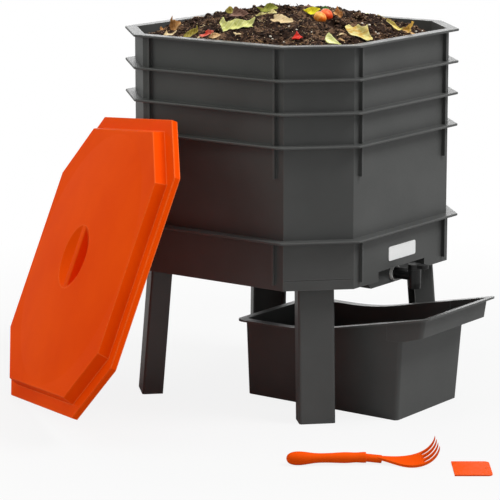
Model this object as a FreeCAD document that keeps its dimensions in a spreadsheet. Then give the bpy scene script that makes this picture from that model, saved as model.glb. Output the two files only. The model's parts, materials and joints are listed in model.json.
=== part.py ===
"""Wormery: a stacking worm composter with its leaning lid, catch bin and two hand tools.

Millimetres, +Z up. The origin is on the floor under the middle of the tower, and the tap
faces -Y. The base tray stands on four splayed channel legs. A deep tray and three shallow
trays nest in it, each with a shoulder that rests on the rim below. The lid leans against
the rim of the deep tray, and the catch bin stands on the floor under the tap.
"""
import FreeCAD, Part
import math
import operator
import os
from types import SimpleNamespace

import Sketcher
from FreeCAD import Placement, Rotation, Vector

DIMENSIONS = [
    # Plan of the tower: an octagon given by half its width and by the cut at its corners
    ("wall_half", 196),         # axis to the outside of a tray's long wall
    ("wall_cut", 71),           # length that the corner face takes off each side
    ("rim_overhang", 14),       # rim beyond the tray wall
    ("rim_thick", 3.5),
    ("rim_round", 1.2),
    ("corner_round", 4),
    # Trays
    ("tray_wall", 3),
    ("tray_floor", 3),
    ("tray_pitch", 47),         # shoulder to rim top of a shallow tray
    ("deep_pitch", 135.5),      # shoulder to rim top of the lowest tray
    ("deep_nest", 30),          # how far the lowest tray reaches into the base
    ("nest_gap", 0.5),          # clearance round and under a nested part
    ("hole_radius", 3),
    ("hole_spacing", 32),
    ("hole_margin", 16),        # outermost hole centres to the corner faces
    ("rib_place", 111),         # rib to the middle of its face
    ("rib_thick", 3),
    ("rib_proud", 5.5),
    # Base tray
    ("floor_under", 210),       # underside of the base floor, where the legs end
    ("base_floor", 3),
    ("base_room", 55),          # base floor to the top of the rim
    ("base_proud", 2),          # base wall beyond the tray wall
    ("base_wall", 4),
    ("skirt_drop", 14),         # skirt below the base floor
    ("base_rib_drop", 6),       # ribs below the underside of the base floor
    ("line_depth", 0.8),        # fine line on the corner faces at the floor's height
    ("line_height", 1.2),
    ("line_half", 48),
    # Sump trough under the base floor
    ("trough_half_top", 92),
    ("trough_half_bottom", 60),
    ("trough_deep", 27),        # its underside below the base floor
    ("trough_set_back", 13.5),  # its front wall behind the face of the base
    ("trough_rear", 60),        # axis to the outside of its rear wall
    ("trough_wall", 3),
    ("notch_half", 62),         # opening in the skirt in front of the tap
    ("cheek_thick", 3),
    # Legs
    ("leg_inset", 17.2),        # corner face of the base to the leg's outer face at its top
    ("leg_splay", 17.5),        # foot further out than the top
    ("leg_width", 52.5),
    ("leg_depth", 31),
    ("leg_wall", 3),
    ("leg_round", 4),
    ("boss_drop", 22),          # boss inside the channel, below the base floor
    ("boss_gap", 0.3),
    # Bare label plate above the tap
    ("label_half", 35.7),
    ("label_rise", 11.2),       # its lower edge above the underside of the base floor
    ("label_height", 20.8),
    ("label_thick", 0.8),
    ("label_round", 3),
    # Tap
    ("tap_rise", 14),           # axis of the shank above the underside of the trough
    ("shank_radius", 8),
    ("shank_gap", 0.1),
    ("washer_radius", 11.5),
    ("washer_thick", 3.8),
    ("inner_washer_radius", 10.5),
    ("inner_washer_thick", 2),
    ("nut_across", 18.5),
    ("nut_thick", 7),
    ("shank_spare", 2.5),       # shank beyond the nut
    ("collar_radius", 9.5),
    ("collar_thick", 2),
    ("waterway_radius", 4),
    ("port_less", 0.5),         # port through the plug narrower than the waterway
    ("barrel_out", 30),         # front of the collar to the axis of the barrel
    ("barrel_radius", 9.5),
    ("barrel_tip_radius", 8.8),
    ("barrel_drop", 19),        # lower end below the axis of the shank
    ("barrel_taper", 8),
    ("barrel_rise", 9),         # upper end above the axis of the shank
    ("spout_radius", 5.5),
    ("plug_radius", 6.5),
    ("plug_gap", 0.05),
    ("plug_drop", 9),           # its seat below the axis of the shank
    ("plug_bore", 4),
    ("hub_gap", 0.2),
    ("hub_radius", 9.8),
    ("hub_height", 7.8),
    ("lever_length", 22.7),     # axis of the barrel to the end of the lever
    ("lever_half", 6),
    ("lever_thick", 5),
    # Lid, in its own frame: Z away from its underside, Z = 0 on top of its flange
    ("lid_over", 10),           # lid beyond the rim that it covers
    ("lid_cut_more", 10.7),     # its corner cut over that of the trays
    ("lid_skirt", 8.9),
    ("lid_wall", 3),
    ("plateau_inset", 18),      # edge of the flange to the foot of the plateau
    ("plateau_cut_less", 5.7),
    ("plateau_height", 15.7),
    ("plateau_taper", 20),      # degrees that its sides lean in
    ("crown_inset", 12),        # foot of the plateau to the edge of the crown
    ("crown_rise", 9),
    ("bowl_radius", 50),
    ("bowl_depth", 17),
    ("grip_half", 7),
    ("grip_drop", 1),           # grip bar below the top of the crown
    ("lid_turn", -33.6),        # degrees about the vertical
    ("lid_lean", -22.8),
    ("lid_twist", 7.5),
    ("lid_place_x", -291),
    ("lid_place_y", 152),
    ("lid_gap", 0.4),           # lid to the rim that it leans on
    # Catch bin
    ("bin_half_bottom", 82),
    ("bin_side_lean", 6),       # each wall further out at the height of the high rim
    ("bin_front_bottom", 245),
    ("bin_front_lean", 10.5),
    ("bin_rear_bottom", 20),
    ("bin_rear_lean", 3),
    ("bin_low_rim", 116),
    ("bin_rim_rise", 44),       # rim at the front above the rim at the rear
    ("bin_kink", 93),           # where the rim starts to rise, forward of the tower axis
    ("bin_kink_blend", 40),
    ("bin_nose_proud", 0.4),    # nose wider than the box at each side of the high rim
    ("bin_nose_root", 118),     # height of the nose ledge where it leaves the front wall
    ("bin_ledge_rise", 10.5),   # ledge higher at its front
    ("bin_nose_out", 44),       # foot of the front wall to the front of the ledge
    ("bin_nose_lean", 5),       # front of the nose further out at the height of the high rim
    ("bin_nose_lap", 15),       # nose's side walls along the walls of the box
    ("bin_wall", 2.5),
    ("bin_flange_side", 10),    # flange beyond the walls
    ("bin_flange_front", 9),
    ("bin_flange_rear", 8),
    ("bin_flange_thick", 2.8),
    ("bin_round", 6),
    # Hand fork, in its own frame along X from the end of the handle
    ("fork_length", 205),
    ("fork_bulb_radius", 9.25),
    ("fork_grip_radius", 6.8),
    ("fork_collar_radius", 7.3),
    ("fork_collar_end", 108),
    ("fork_neck_half", 5.5),
    ("fork_head_start", 126),
    ("fork_head_half", 28),
    ("fork_tine_root", 183),
    ("fork_tine_width", 5.4),
    ("fork_thick", 3.4),
    ("fork_tip_rise", 27),
    ("fork_tip_length", 8),
    ("fork_place_x", -358),
    ("fork_place_y", -245),
    ("fork_heading", -51),      # degrees
    # Scraper
    ("scraper_width", 51),
    ("scraper_height", 64),
    ("scraper_thick", 2),
    ("scraper_round", 7),
    ("scraper_hole_radius", 1.5),
    ("scraper_hole_inset", 7),
    ("scraper_place_x", -243),
    ("scraper_place_y", -438),
    ("scraper_heading", -54),
    # Compost heap
    ("heap_gap", 0.3),
    ("heap_peak", 28),          # above the rim of the top tray
    ("heap_edge", 8),           # below that rim at the middle of each wall
]

OPERATIONS = {"+": operator.add, "-": operator.sub, "*": operator.mul, "/": operator.truediv}

doc = FreeCAD.newDocument("wormery")
sheet = doc.addObject("Spreadsheet::Sheet", "Sizes")
for row, (alias, value) in enumerate(DIMENSIONS, start=1):
    sheet.set(f"B{row}", str(value))
    sheet.setAlias(f"B{row}", alias)
doc.recompute()


class Size:
    """A length that knows its number and the sheet formula that gives it."""

    def __init__(self, number, formula):
        self.number = number
        self.formula = formula

    def __float__(self):
        return self.number

    def __add__(self, other):
        return combined(self, "+", other)

    def __radd__(self, other):
        return combined(other, "+", self)

    def __sub__(self, other):
        return combined(self, "-", other)

    def __rsub__(self, other):
        return combined(other, "-", self)

    def __mul__(self, other):
        return combined(self, "*", other)

    def __rmul__(self, other):
        return combined(other, "*", self)

    def __truediv__(self, other):
        return combined(self, "/", other)

    def __neg__(self):
        return combined(0, "-", self)


def as_size(value):
    """A plain number as a Size with no cell behind it."""
    return value if isinstance(value, Size) else Size(float(value), repr(float(value)))


def combined(left, sign, right):
    """The Size that an operation on two lengths gives."""
    left = as_size(left)
    right = as_size(right)
    number = OPERATIONS[sign](left.number, right.number)
    return Size(number, f"({left.formula} {sign} {right.formula})")


dim = SimpleNamespace(**{alias: Size(float(sheet.get(alias)), f"Sizes.{alias}") for alias, _ in DIMENSIONS})

# A cut runs this far past the faces that it opens, and a joint reaches as far into its wall
OVERCUT = 1
CUT_SPARE = 20

# Fall of the fork's neck for each millimetre along it
NECK_FALL = 0.12

# Heights and reaches that follow from the sizes above
BASE_TOP = dim.floor_under + dim.base_floor + dim.base_room
SKIRT_BOTTOM = dim.floor_under - dim.skirt_drop
TROUGH_BOTTOM = dim.floor_under - dim.trough_deep
TROUGH_FRONT = dim.wall_half + dim.base_proud - dim.trough_set_back
TAP_HEIGHT = TROUGH_BOTTOM + dim.tap_rise
BARREL_REACH = TROUGH_FRONT + dim.washer_thick + dim.collar_thick + dim.barrel_out
BARREL_BOTTOM = TAP_HEIGHT - dim.barrel_drop
BARREL_TOP = TAP_HEIGHT + dim.barrel_rise
PLUG_BOTTOM = TAP_HEIGHT - dim.plug_drop
LEVER_TOP = BARREL_TOP + dim.hub_gap + dim.hub_height
LID_HALF = dim.wall_half + dim.rim_overhang + dim.lid_over
LID_CUT = dim.wall_cut + dim.lid_cut_more
PLATEAU_HALF = LID_HALF - dim.plateau_inset
PLATEAU_CUT = LID_CUT - dim.plateau_cut_less
CROWN_RADIUS = PLATEAU_HALF - dim.crown_inset
BIN_HIGH_RIM = dim.bin_low_rim + dim.bin_rim_rise
BIN_HALF_TOP = dim.bin_half_bottom + dim.bin_side_lean
BIN_NOSE_HALF = BIN_HALF_TOP + dim.bin_nose_proud
BIN_NOSE_LOW = dim.bin_front_bottom + dim.bin_nose_out
BIN_NOSE_HIGH = BIN_NOSE_LOW + dim.bin_nose_lean
BIN_FLANGE_HALF = BIN_HALF_TOP + dim.bin_flange_side
BIN_FLANGE_FRONT = BIN_NOSE_HIGH + dim.bin_flange_front
BIN_FLANGE_REAR = dim.bin_rear_bottom + dim.bin_rear_lean + dim.bin_flange_rear


# Sketches and features

def bind(feature, path, value):
    """Tie a property to the sheet."""
    feature.setExpression(path, as_size(value).formula)


def new_body(name, placement=None):
    """An empty sub-part whose label is its name."""
    body = doc.addObject("PartDesign::Body", name)
    body.Label = name
    if placement is not None:
        body.Placement = placement
    return body


def sketch_on(body, name, plane, height):
    """An empty sketch on one of the body's own planes, moved along the plane's normal."""
    sketch = body.newObject("Sketcher::SketchObject", name)
    support = [feature for feature in body.Origin.OriginFeatures if feature.Role == plane]
    sketch.AttachmentSupport = [(support[0], "")]
    sketch.MapMode = "FlatFace"
    bind(sketch, "AttachmentOffset.Base.z", height)
    return sketch


def fix_points(sketch, places):
    """Fix points of a sketch, each given as shape, end, x and y, to the sheet."""
    rows = []
    for shape, end, x, y in places:
        rows.append(("DistanceX", shape, end, as_size(x)))
        rows.append(("DistanceY", shape, end, as_size(y)))
    first = sketch.ConstraintCount
    sketch.addConstraint([Sketcher.Constraint(kind, -1, 1, shape, end, value.number)
                          for kind, shape, end, value in rows])
    for number, (_, _, _, value) in enumerate(rows, start=first):
        bind(sketch, f"Constraints[{number}]", value)


def outline(body, name, plane, height, corners, bends=None):
    """A closed sketch through corners; bends maps a corner to a point on the arc that leaves it."""
    sketch = sketch_on(body, name, plane, height)
    bends = bends or {}
    points = [Vector(float(x), float(y), 0) for x, y in corners]
    count = len(points)
    shapes = []
    ends = []
    for index, start in enumerate(points):
        end = points[(index + 1) % count]
        ends.append((1, 2))
        if index in bends:
            middle = Vector(float(bends[index][0]), float(bends[index][1]), 0)
            shapes.append(Part.Arc(start, middle, end))
            if (middle - start).cross(end - middle).z < 0:
                ends[index] = (2, 1)
        else:
            shapes.append(Part.LineSegment(start, end))
    sketch.addGeometry(shapes, False)
    following = [*range(1, count), 0]
    sketch.addConstraint([
        Sketcher.Constraint("Coincident", index, ends[index][1], after, ends[after][0])
        for index, after in enumerate(following)
    ])
    fix_points(sketch, [(index, ends[index][0], x, y) for index, (x, y) in enumerate(corners)])
    for index, (x, y) in bends.items():
        marker = sketch.addGeometry(Part.Point(Vector(float(x), float(y), 0)), True)
        fix_points(sketch, [(marker, 1, x, y)])
        sketch.addConstraint(Sketcher.Constraint("PointOnObject", marker, 1, index))
    return sketch


def circles(body, name, plane, height, places):
    """A sketch of circles, each given as x, y and radius."""
    sketch = sketch_on(body, name, plane, height)
    normal = Vector(0, 0, 1)
    sketch.addGeometry([Part.Circle(Vector(float(x), float(y), 0), normal, float(radius))
                        for x, y, radius in places], False)
    first = sketch.ConstraintCount
    sketch.addConstraint([Sketcher.Constraint("Radius", index, float(radius))
                          for index, (_, _, radius) in enumerate(places)])
    for number, (_, _, radius) in enumerate(places, start=first):
        bind(sketch, f"Constraints[{number}]", radius)
    fix_points(sketch, [(index, 3, x, y) for index, (x, y, _) in enumerate(places)])
    return sketch


def octagon(body, name, height, half, cut):
    """A sketch of an octagon with its long sides square to the axes."""
    corner = half - cut
    corners = [
        (half, -corner), (half, corner), (corner, half), (-corner, half),
        (-half, corner), (-half, -corner), (-corner, -half), (corner, -half),
    ]
    return outline(body, name, "XY_Plane", height, corners)


def box_corners(left, right, bottom, top):
    """Corners of a rectangle in a sketch."""
    return [(left, bottom), (right, bottom), (right, top), (left, top)]


def rounded_box(left, right, bottom, top, radius):
    """Corners of a rectangle with round corners, and the bends that its arcs go through."""
    inset = radius * (1 - math.sqrt(0.5))
    corners = [
        (left + radius, bottom), (right - radius, bottom), (right, bottom + radius), (right, top - radius),
        (right - radius, top), (left + radius, top), (left, top - radius), (left, bottom + radius),
    ]
    bends = {
        1: (right - inset, bottom + inset), 3: (right - inset, top - inset),
        5: (left + inset, top - inset), 7: (left + inset, bottom + inset),
    }
    return corners, bends


def extruded(kind, body, name, sketch, length, **options):
    """A pad or pocket of a sketch, with its length tied to the sheet."""
    feature = body.newObject(f"PartDesign::{kind}", name)
    feature.Profile = sketch
    bind(feature, "Length", length)
    for option, value in options.items():
        if isinstance(value, Size):
            bind(feature, option, value)
        else:
            setattr(feature, option, value)
    return feature


def pad(body, name, sketch, length, **options):
    """Material along the sketch's normal."""
    return extruded("Pad", body, name, sketch, length, **options)


def pocket(body, name, sketch, length, **options):
    """A cut against the sketch's normal."""
    return extruded("Pocket", body, name, sketch, length, **options)


def turned(kind, body, name, sketch, axis="V_Axis"):
    """A full revolution or groove of a sketch about one of the sketch's own axes."""
    feature = body.newObject(f"PartDesign::{kind}", name)
    feature.Profile = sketch
    feature.ReferenceAxis = (sketch, [axis])
    feature.Angle = 360
    return feature


def four_times(body, name, originals):
    """A feature repeated on the four sides of the tower."""
    pattern = body.newObject("PartDesign::PolarPattern", name)
    pattern.Originals = originals
    axis = [feature for feature in body.Origin.OriginFeatures if feature.Role == "Z_Axis"]
    pattern.Axis = (axis[0], [""])
    pattern.Angle = 360
    pattern.Occurrences = 4
    body.Tip = pattern
    return pattern


def round_edges(body, name, radius, wanted):
    """A fillet on those edges of the body that wanted accepts."""
    doc.recompute()
    base = body.Tip
    names = [f"Edge{number}" for number, edge in enumerate(base.Shape.Edges, start=1) if wanted(edge)]
    if not names:
        raise RuntimeError(f"{body.Label}: no edge for {name}")
    feature = body.newObject("PartDesign::Fillet", name)
    feature.Base = (base, names)
    bind(feature, "Radius", radius)
    return feature


def stands_between(edge, low, high):
    """Whether an edge runs straight up from one height to the other."""
    ends = sorted(vertex.Z for vertex in edge.Vertexes)
    upright = len(ends) == 2 and math.hypot(*(edge.Vertexes[0].Point - edge.Vertexes[1].Point)[:2]) < 1e-6
    return upright and abs(ends[0] - float(low)) < 1e-6 and abs(ends[1] - float(high)) < 1e-6


def lies_at(edge, height):
    """Whether an edge lies at one height."""
    box = edge.BoundBox
    return abs(box.ZMin - float(height)) < 1e-6 and abs(box.ZMax - float(height)) < 1e-6


def outside(edge, half, cut):
    """Whether an edge's middle is beyond an octagon of this size."""
    middle = edge.valueAt((edge.FirstParameter + edge.LastParameter) / 2)
    reach_x = abs(middle.x)
    reach_y = abs(middle.y)
    return max(reach_x, reach_y) > float(half) or reach_x + reach_y > float(2 * half - cut)


def plan(offset):
    """Half width and corner cut of the tray's plan, moved outwards by an offset."""
    return dim.wall_half + offset, dim.wall_cut + offset * (2 - math.sqrt(2))


# Mouldings of the tower

def rim(body, top, proud):
    """A flat flange round the top of a wall, with softened corners and edges."""
    underside = top - dim.rim_thick
    half, cut = plan(dim.rim_overhang + proud)
    sketch = octagon(body, "rim_outline", underside, half, cut)
    pad(body, "rim", sketch, dim.rim_thick)
    wall_half, wall_cut = plan(proud + dim.rim_overhang / 2)
    round_edges(body, "rim_corners", dim.corner_round, lambda edge: (
        stands_between(edge, underside, top) and outside(edge, wall_half, wall_cut)))
    round_edges(body, "rim_edges", dim.rim_round, lambda edge: (
        (lies_at(edge, top) or lies_at(edge, underside)) and outside(edge, wall_half, wall_cut)))


def ribs(body, bottom, top, proud):
    """Two upright ribs on each long face, under the rim."""
    inner = dim.wall_half + proud - OVERCUT
    outer = dim.wall_half + proud + dim.rib_proud
    for side, name in ((-1, "rib_left"), (1, "rib_right")):
        middle = side * dim.rib_place
        corners = box_corners(middle - dim.rib_thick / 2, middle + dim.rib_thick / 2, -outer, -inner)
        sketch = outline(body, f"{name}_outline", "XY_Plane", bottom, corners)
        rib = pad(body, name, sketch, top - bottom)
        four_times(body, f"{name}s", [rib])


def drain_holes(body, half, cut, floor_top):
    """A square field of drain holes, as wide as the corner faces of the floor leave room for."""
    reach = half - cut / 2 - dim.hole_margin
    steps = int(float(reach) // float(dim.hole_spacing))
    start = -steps * dim.hole_spacing
    first = circles(body, "drain_outline", "XY_Plane", floor_top, [(start, start, dim.hole_radius)])
    hole = pocket(body, "drain_hole", first, dim.tray_floor)
    field = body.newObject("PartDesign::LinearPattern", "drain_holes")
    field.Originals = [hole]
    for suffix, role in (("", "X_Axis"), ("2", "Y_Axis")):
        axis = [feature for feature in body.Origin.OriginFeatures if feature.Role == role]
        setattr(field, f"Direction{suffix}", (axis[0], [""]))
        setattr(field, f"Occurrences{suffix}", 2 * steps + 1)
        bind(field, f"Length{suffix}", 2 * steps * dim.hole_spacing)
    body.Tip = field


def tray(name, pitch, nest, rib_bottom, height):
    """A tray: wall band, rim, ribs and a perforated well that nests in the moulding below.

    Its own Z = 0 is the shoulder that rests on the rim below.
    """
    body = new_body(name)
    bind(body, "Placement.Base.z", height)
    wall_half, wall_cut = plan(0)
    inner_half, inner_cut = plan(-dim.tray_wall)
    well_half, well_cut = plan(-(dim.tray_wall + dim.nest_gap))
    room_half, room_cut = plan(-(2 * dim.tray_wall + dim.nest_gap))
    pad(body, "band", octagon(body, "band_outline", 0, wall_half, wall_cut), pitch)
    pad(body, "well", octagon(body, "well_outline", -nest, well_half, well_cut), nest + dim.tray_floor)
    rim(body, pitch, as_size(0))
    ribs(body, rib_bottom, pitch - dim.rim_thick, as_size(0))
    pocket(body, "upper_room", octagon(body, "upper_room_outline", pitch, inner_half, inner_cut),
           pitch - dim.tray_floor)
    lower_room = octagon(body, "lower_room_outline", dim.tray_floor, room_half, room_cut)
    pocket(body, "lower_room", lower_room, nest)
    drain_holes(body, room_half, room_cut, dim.tray_floor - nest)
    return body


def base_tray():
    """The moulding that stands on the legs: reservoir, sump trough and skirt."""
    body = new_body("base_tray")
    proud = dim.base_proud
    outer_half, outer_cut = plan(proud)
    inner_half, inner_cut = plan(proud - dim.base_wall)
    floor_top = dim.floor_under + dim.base_floor
    pad(body, "wall", octagon(body, "wall_outline", SKIRT_BOTTOM, outer_half, outer_cut),
        BASE_TOP - SKIRT_BOTTOM)
    rim(body, BASE_TOP, proud)
    ribs(body, dim.floor_under - dim.base_rib_drop, BASE_TOP - dim.rim_thick, proud)
    pocket(body, "reservoir", octagon(body, "reservoir_outline", BASE_TOP, inner_half, inner_cut),
           BASE_TOP - floor_top)
    pocket(body, "underside", octagon(body, "underside_outline", SKIRT_BOTTOM, inner_half, inner_cut),
           dim.floor_under - SKIRT_BOTTOM, Reversed=True)
    trough(body, floor_top)
    notch(body, outer_half)
    leg_bosses(body)
    corner_lines(body, outer_half, outer_cut)
    return body


def trough(body, floor_top):
    """The sump that the reservoir drains into, with sloping ends and the hole for the tap."""
    ledge = dim.base_floor / 2
    outer = [
        (-dim.trough_half_bottom, TROUGH_BOTTOM), (dim.trough_half_bottom, TROUGH_BOTTOM),
        (dim.trough_half_top, dim.floor_under), (dim.trough_half_top, dim.floor_under + ledge),
        (-dim.trough_half_top, dim.floor_under + ledge), (-dim.trough_half_top, dim.floor_under),
    ]
    sketch = outline(body, "trough_outline", "XZ_Plane", dim.trough_rear, outer)
    pad(body, "trough", sketch, TROUGH_FRONT - dim.trough_rear)
    wall = dim.trough_wall
    inner_top = floor_top + OVERCUT
    inner = [
        (-(dim.trough_half_bottom - wall / 2), TROUGH_BOTTOM + wall),
        (dim.trough_half_bottom - wall / 2, TROUGH_BOTTOM + wall),
        (dim.trough_half_top - wall, dim.floor_under), (dim.trough_half_top - wall, inner_top),
        (-(dim.trough_half_top - wall), inner_top), (-(dim.trough_half_top - wall), dim.floor_under),
    ]
    sketch = outline(body, "sump_outline", "XZ_Plane", TROUGH_FRONT - wall, inner)
    pocket(body, "sump", sketch, TROUGH_FRONT - dim.trough_rear - 2 * wall)
    bore = circles(body, "tap_hole_outline", "XZ_Plane", TROUGH_FRONT,
                   [(0, TAP_HEIGHT, dim.shank_radius + dim.shank_gap)])
    pocket(body, "tap_hole", bore, wall)


def notch(body, outer_half):
    """The opening in the skirt that shows the trough's front wall, with a cheek at each side."""
    deep = outer_half - TROUGH_FRONT
    for side, name in ((-1, "cheek_left"), (1, "cheek_right")):
        near = side * dim.notch_half
        far = side * (dim.notch_half + dim.cheek_thick)
        left, right = (far, near) if side < 0 else (near, far)
        corners = box_corners(left, right, -outer_half + dim.base_wall / 2, -TROUGH_FRONT + OVERCUT)
        sketch = outline(body, f"{name}_outline", "XY_Plane", SKIRT_BOTTOM, corners)
        pad(body, name, sketch, dim.floor_under - SKIRT_BOTTOM)
    corners = box_corners(-dim.notch_half, dim.notch_half, SKIRT_BOTTOM - OVERCUT, dim.floor_under)
    sketch = outline(body, "notch_outline", "XZ_Plane", outer_half + OVERCUT, corners)
    pocket(body, "notch", sketch, deep + OVERCUT)


def corner_face(half, cut):
    """Distance from the axis to the corner faces of an octagon."""
    return (2 * half - cut) * math.sqrt(0.5)


def leg_foot():
    """Distance from the axis to a leg's outer face at the floor."""
    return corner_face(*plan(dim.base_proud)) - dim.leg_inset + dim.leg_splay


def leg_slope():
    """Run of a leg's outer face for each millimetre that it rises."""
    return -dim.leg_splay / dim.floor_under


def on_corner(quarter, places):
    """Plan points of a corner of the tower, each given by its distance out and to the side."""
    unit = math.sqrt(0.5)
    sign_x, sign_y = ((1, 1), (-1, 1), (-1, -1), (1, -1))[quarter]
    return [((out * sign_x - aside * sign_y) * unit, (out * sign_y + aside * sign_x) * unit)
            for out, aside in places]


def leg_bosses(body):
    """A block in each leg's channel, which holds the leg under the floor."""
    bottom = dim.floor_under - dim.boss_drop
    face = leg_foot() + leg_slope() * bottom - dim.leg_wall - dim.boss_gap
    back = face - (dim.leg_depth - dim.leg_wall - dim.boss_gap)
    half = dim.leg_width / 2 - dim.leg_wall - dim.boss_gap
    for quarter in range(4):
        corners = on_corner(quarter, ((back, -half), (face, -half), (face, half), (back, half)))
        sketch = outline(body, f"boss_{quarter}_outline", "XY_Plane", bottom, corners)
        boss = pad(body, f"boss_{quarter}", sketch, dim.boss_drop + dim.base_floor / 2,
                   UseCustomVector=True, AlongSketchNormal=True)
        lean_x, lean_y = on_corner(quarter, ((leg_slope(), 0),))[0]
        boss.Direction = Vector(0, 0, 1)
        bind(boss, "Direction.x", lean_x)
        bind(boss, "Direction.y", lean_y)


def corner_lines(body, outer_half, outer_cut):
    """The fine line that crosses each corner face at the height of the floor."""
    face = corner_face(outer_half, outer_cut)
    top = dim.floor_under + dim.line_height
    inner = face - dim.line_depth
    outer = face + OVERCUT
    for quarter in range(4):
        corners = on_corner(quarter, ((inner, -dim.line_half), (outer, -dim.line_half),
                                      (outer, dim.line_half), (inner, dim.line_half)))
        sketch = outline(body, f"line_{quarter}_outline", "XY_Plane", top, corners)
        pocket(body, f"line_{quarter}", sketch, dim.line_height)


def leg(name, heading):
    """A splayed U channel, open towards the middle, with its foot cut level."""
    body = new_body(name, Placement(Vector(), Rotation(Vector(0, 0, 1), heading)))
    half = dim.leg_width / 2
    wall = dim.leg_wall
    outer = leg_foot()
    open_end = outer - dim.leg_depth
    bend = dim.leg_round
    inset = bend * (1 - math.sqrt(0.5))
    corners = [
        (open_end, -half), (outer - bend, -half), (outer, bend - half), (outer, half - bend),
        (outer - bend, half), (open_end, half), (open_end, half - wall), (outer - wall, half - wall),
        (outer - wall, wall - half), (open_end, wall - half),
    ]
    bends = {1: (outer - inset, inset - half), 3: (outer - inset, half - inset)}
    sketch = outline(body, "channel_outline", "XY_Plane", 0, corners, bends)
    channel = pad(body, "channel", sketch, dim.floor_under, UseCustomVector=True, AlongSketchNormal=True)
    channel.Direction = Vector(0, 0, 1)
    bind(channel, "Direction.x", leg_slope())
    return body


# Label plate and tap

def label_plate():
    """The bare plate on the front of the base, above the tap."""
    body = new_body("label_plate")
    face = dim.wall_half + dim.base_proud
    bottom = dim.floor_under + dim.label_rise
    corners = box_corners(-dim.label_half, dim.label_half, bottom, bottom + dim.label_height)
    sketch = outline(body, "plate_outline", "XZ_Plane", face, corners)
    pad(body, "plate", sketch, dim.label_thick)

    def across(edge):
        box = edge.BoundBox
        return abs(box.YLength - float(dim.label_thick)) < 1e-6

    round_edges(body, "plate_corners", dim.label_round, across)
    return body


def washer(name, radius, thick, front):
    """A ring on the tap's shank, given by its front face."""
    body = new_body(name)
    places = [(0, TAP_HEIGHT, radius), (0, TAP_HEIGHT, dim.shank_radius + dim.shank_gap)]
    sketch = circles(body, "ring_outline", "XZ_Plane", front - thick, places)
    pad(body, "ring", sketch, thick)
    return body


def tap_nut():
    """The hexagon nut that clamps the tap from inside the trough."""
    body = new_body("tap_nut")
    front = TROUGH_FRONT - dim.trough_wall - dim.inner_washer_thick
    side = dim.nut_across / math.sqrt(3)
    half = dim.nut_across / 2
    height = TAP_HEIGHT
    corners = [
        (-side / 2, height - half), (side / 2, height - half), (side, height),
        (side / 2, height + half), (-side / 2, height + half), (-side, height),
    ]
    pad(body, "hexagon", outline(body, "hexagon_outline", "XZ_Plane", front - dim.nut_thick, corners),
        dim.nut_thick)
    bore = circles(body, "thread_outline", "XZ_Plane", front, [(0, height, dim.shank_radius + dim.shank_gap)])
    pocket(body, "thread", bore, dim.nut_thick)
    return body


def tap_body():
    """Shank, collar and upright barrel of the tap, with its waterway and spout."""
    body = new_body("tap_body")
    height = TAP_HEIGHT
    rear = (TROUGH_FRONT - dim.trough_wall - dim.inner_washer_thick - dim.nut_thick - dim.shank_spare)
    shank = circles(body, "shank_outline", "XZ_Plane", rear, [(0, height, dim.shank_radius)])
    pad(body, "shank", shank, BARREL_REACH - dim.barrel_radius / 2 - rear)
    collar_rear = TROUGH_FRONT + dim.washer_thick
    collar = circles(body, "collar_outline", "XZ_Plane", collar_rear, [(0, height, dim.collar_radius)])
    pad(body, "collar", collar, dim.collar_thick)
    barrel = [
        (0, BARREL_BOTTOM), (dim.barrel_tip_radius, BARREL_BOTTOM),
        (dim.barrel_radius, BARREL_BOTTOM + dim.barrel_taper), (dim.barrel_radius, BARREL_TOP),
        (0, BARREL_TOP),
    ]
    body.Tip = turned("Revolution", body, "barrel",
                      outline(body, "barrel_outline", "XZ_Plane", BARREL_REACH, barrel))
    places = [(0, -BARREL_REACH, dim.plug_radius)]
    seat = circles(body, "seat_outline", "XY_Plane", BARREL_TOP, places)
    pocket(body, "seat", seat, BARREL_TOP - PLUG_BOTTOM)
    spout = circles(body, "spout_outline", "XY_Plane", PLUG_BOTTOM, [(0, -BARREL_REACH, dim.spout_radius)])
    pocket(body, "spout", spout, PLUG_BOTTOM - BARREL_BOTTOM)
    waterway = circles(body, "waterway_outline", "XZ_Plane", BARREL_REACH, [(0, height, dim.waterway_radius)])
    pocket(body, "waterway", waterway, BARREL_REACH - rear)
    return body


def tap_lever():
    """The turning plug with its hub and lever, in one piece, closed at rest."""
    body = new_body("tap_lever")
    place = (0, -BARREL_REACH)
    hub_bottom = BARREL_TOP + dim.hub_gap
    hub = circles(body, "hub_outline", "XY_Plane", hub_bottom, [(*place, dim.hub_radius)])
    pad(body, "hub", hub, LEVER_TOP - hub_bottom)
    plug_bottom = PLUG_BOTTOM + dim.hub_gap
    plug = circles(body, "plug_outline", "XY_Plane", plug_bottom, [(*place, dim.plug_radius - dim.plug_gap)])
    pad(body, "plug", plug, hub_bottom - plug_bottom)
    end = -BARREL_REACH - dim.lever_length
    tip = end + dim.lever_half
    corners = [
        (-dim.lever_half, tip), (dim.lever_half, tip),
        (dim.lever_half, -BARREL_REACH), (-dim.lever_half, -BARREL_REACH),
    ]
    blade = outline(body, "blade_outline", "XY_Plane", LEVER_TOP - dim.lever_thick, corners, {0: (0, end)})
    pad(body, "blade", blade, dim.lever_thick)
    bore = circles(body, "bore_outline", "XY_Plane", plug_bottom, [(*place, dim.plug_bore)])
    pocket(body, "bore", bore, BARREL_TOP - plug_bottom - OVERCUT, Reversed=True)
    port = circles(body, "port_outline", "YZ_Plane", dim.plug_radius + OVERCUT,
                   [(-BARREL_REACH, TAP_HEIGHT, dim.waterway_radius - dim.port_less)])
    pocket(body, "port", port, dim.plug_radius + OVERCUT)
    return body


# Lid

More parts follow.
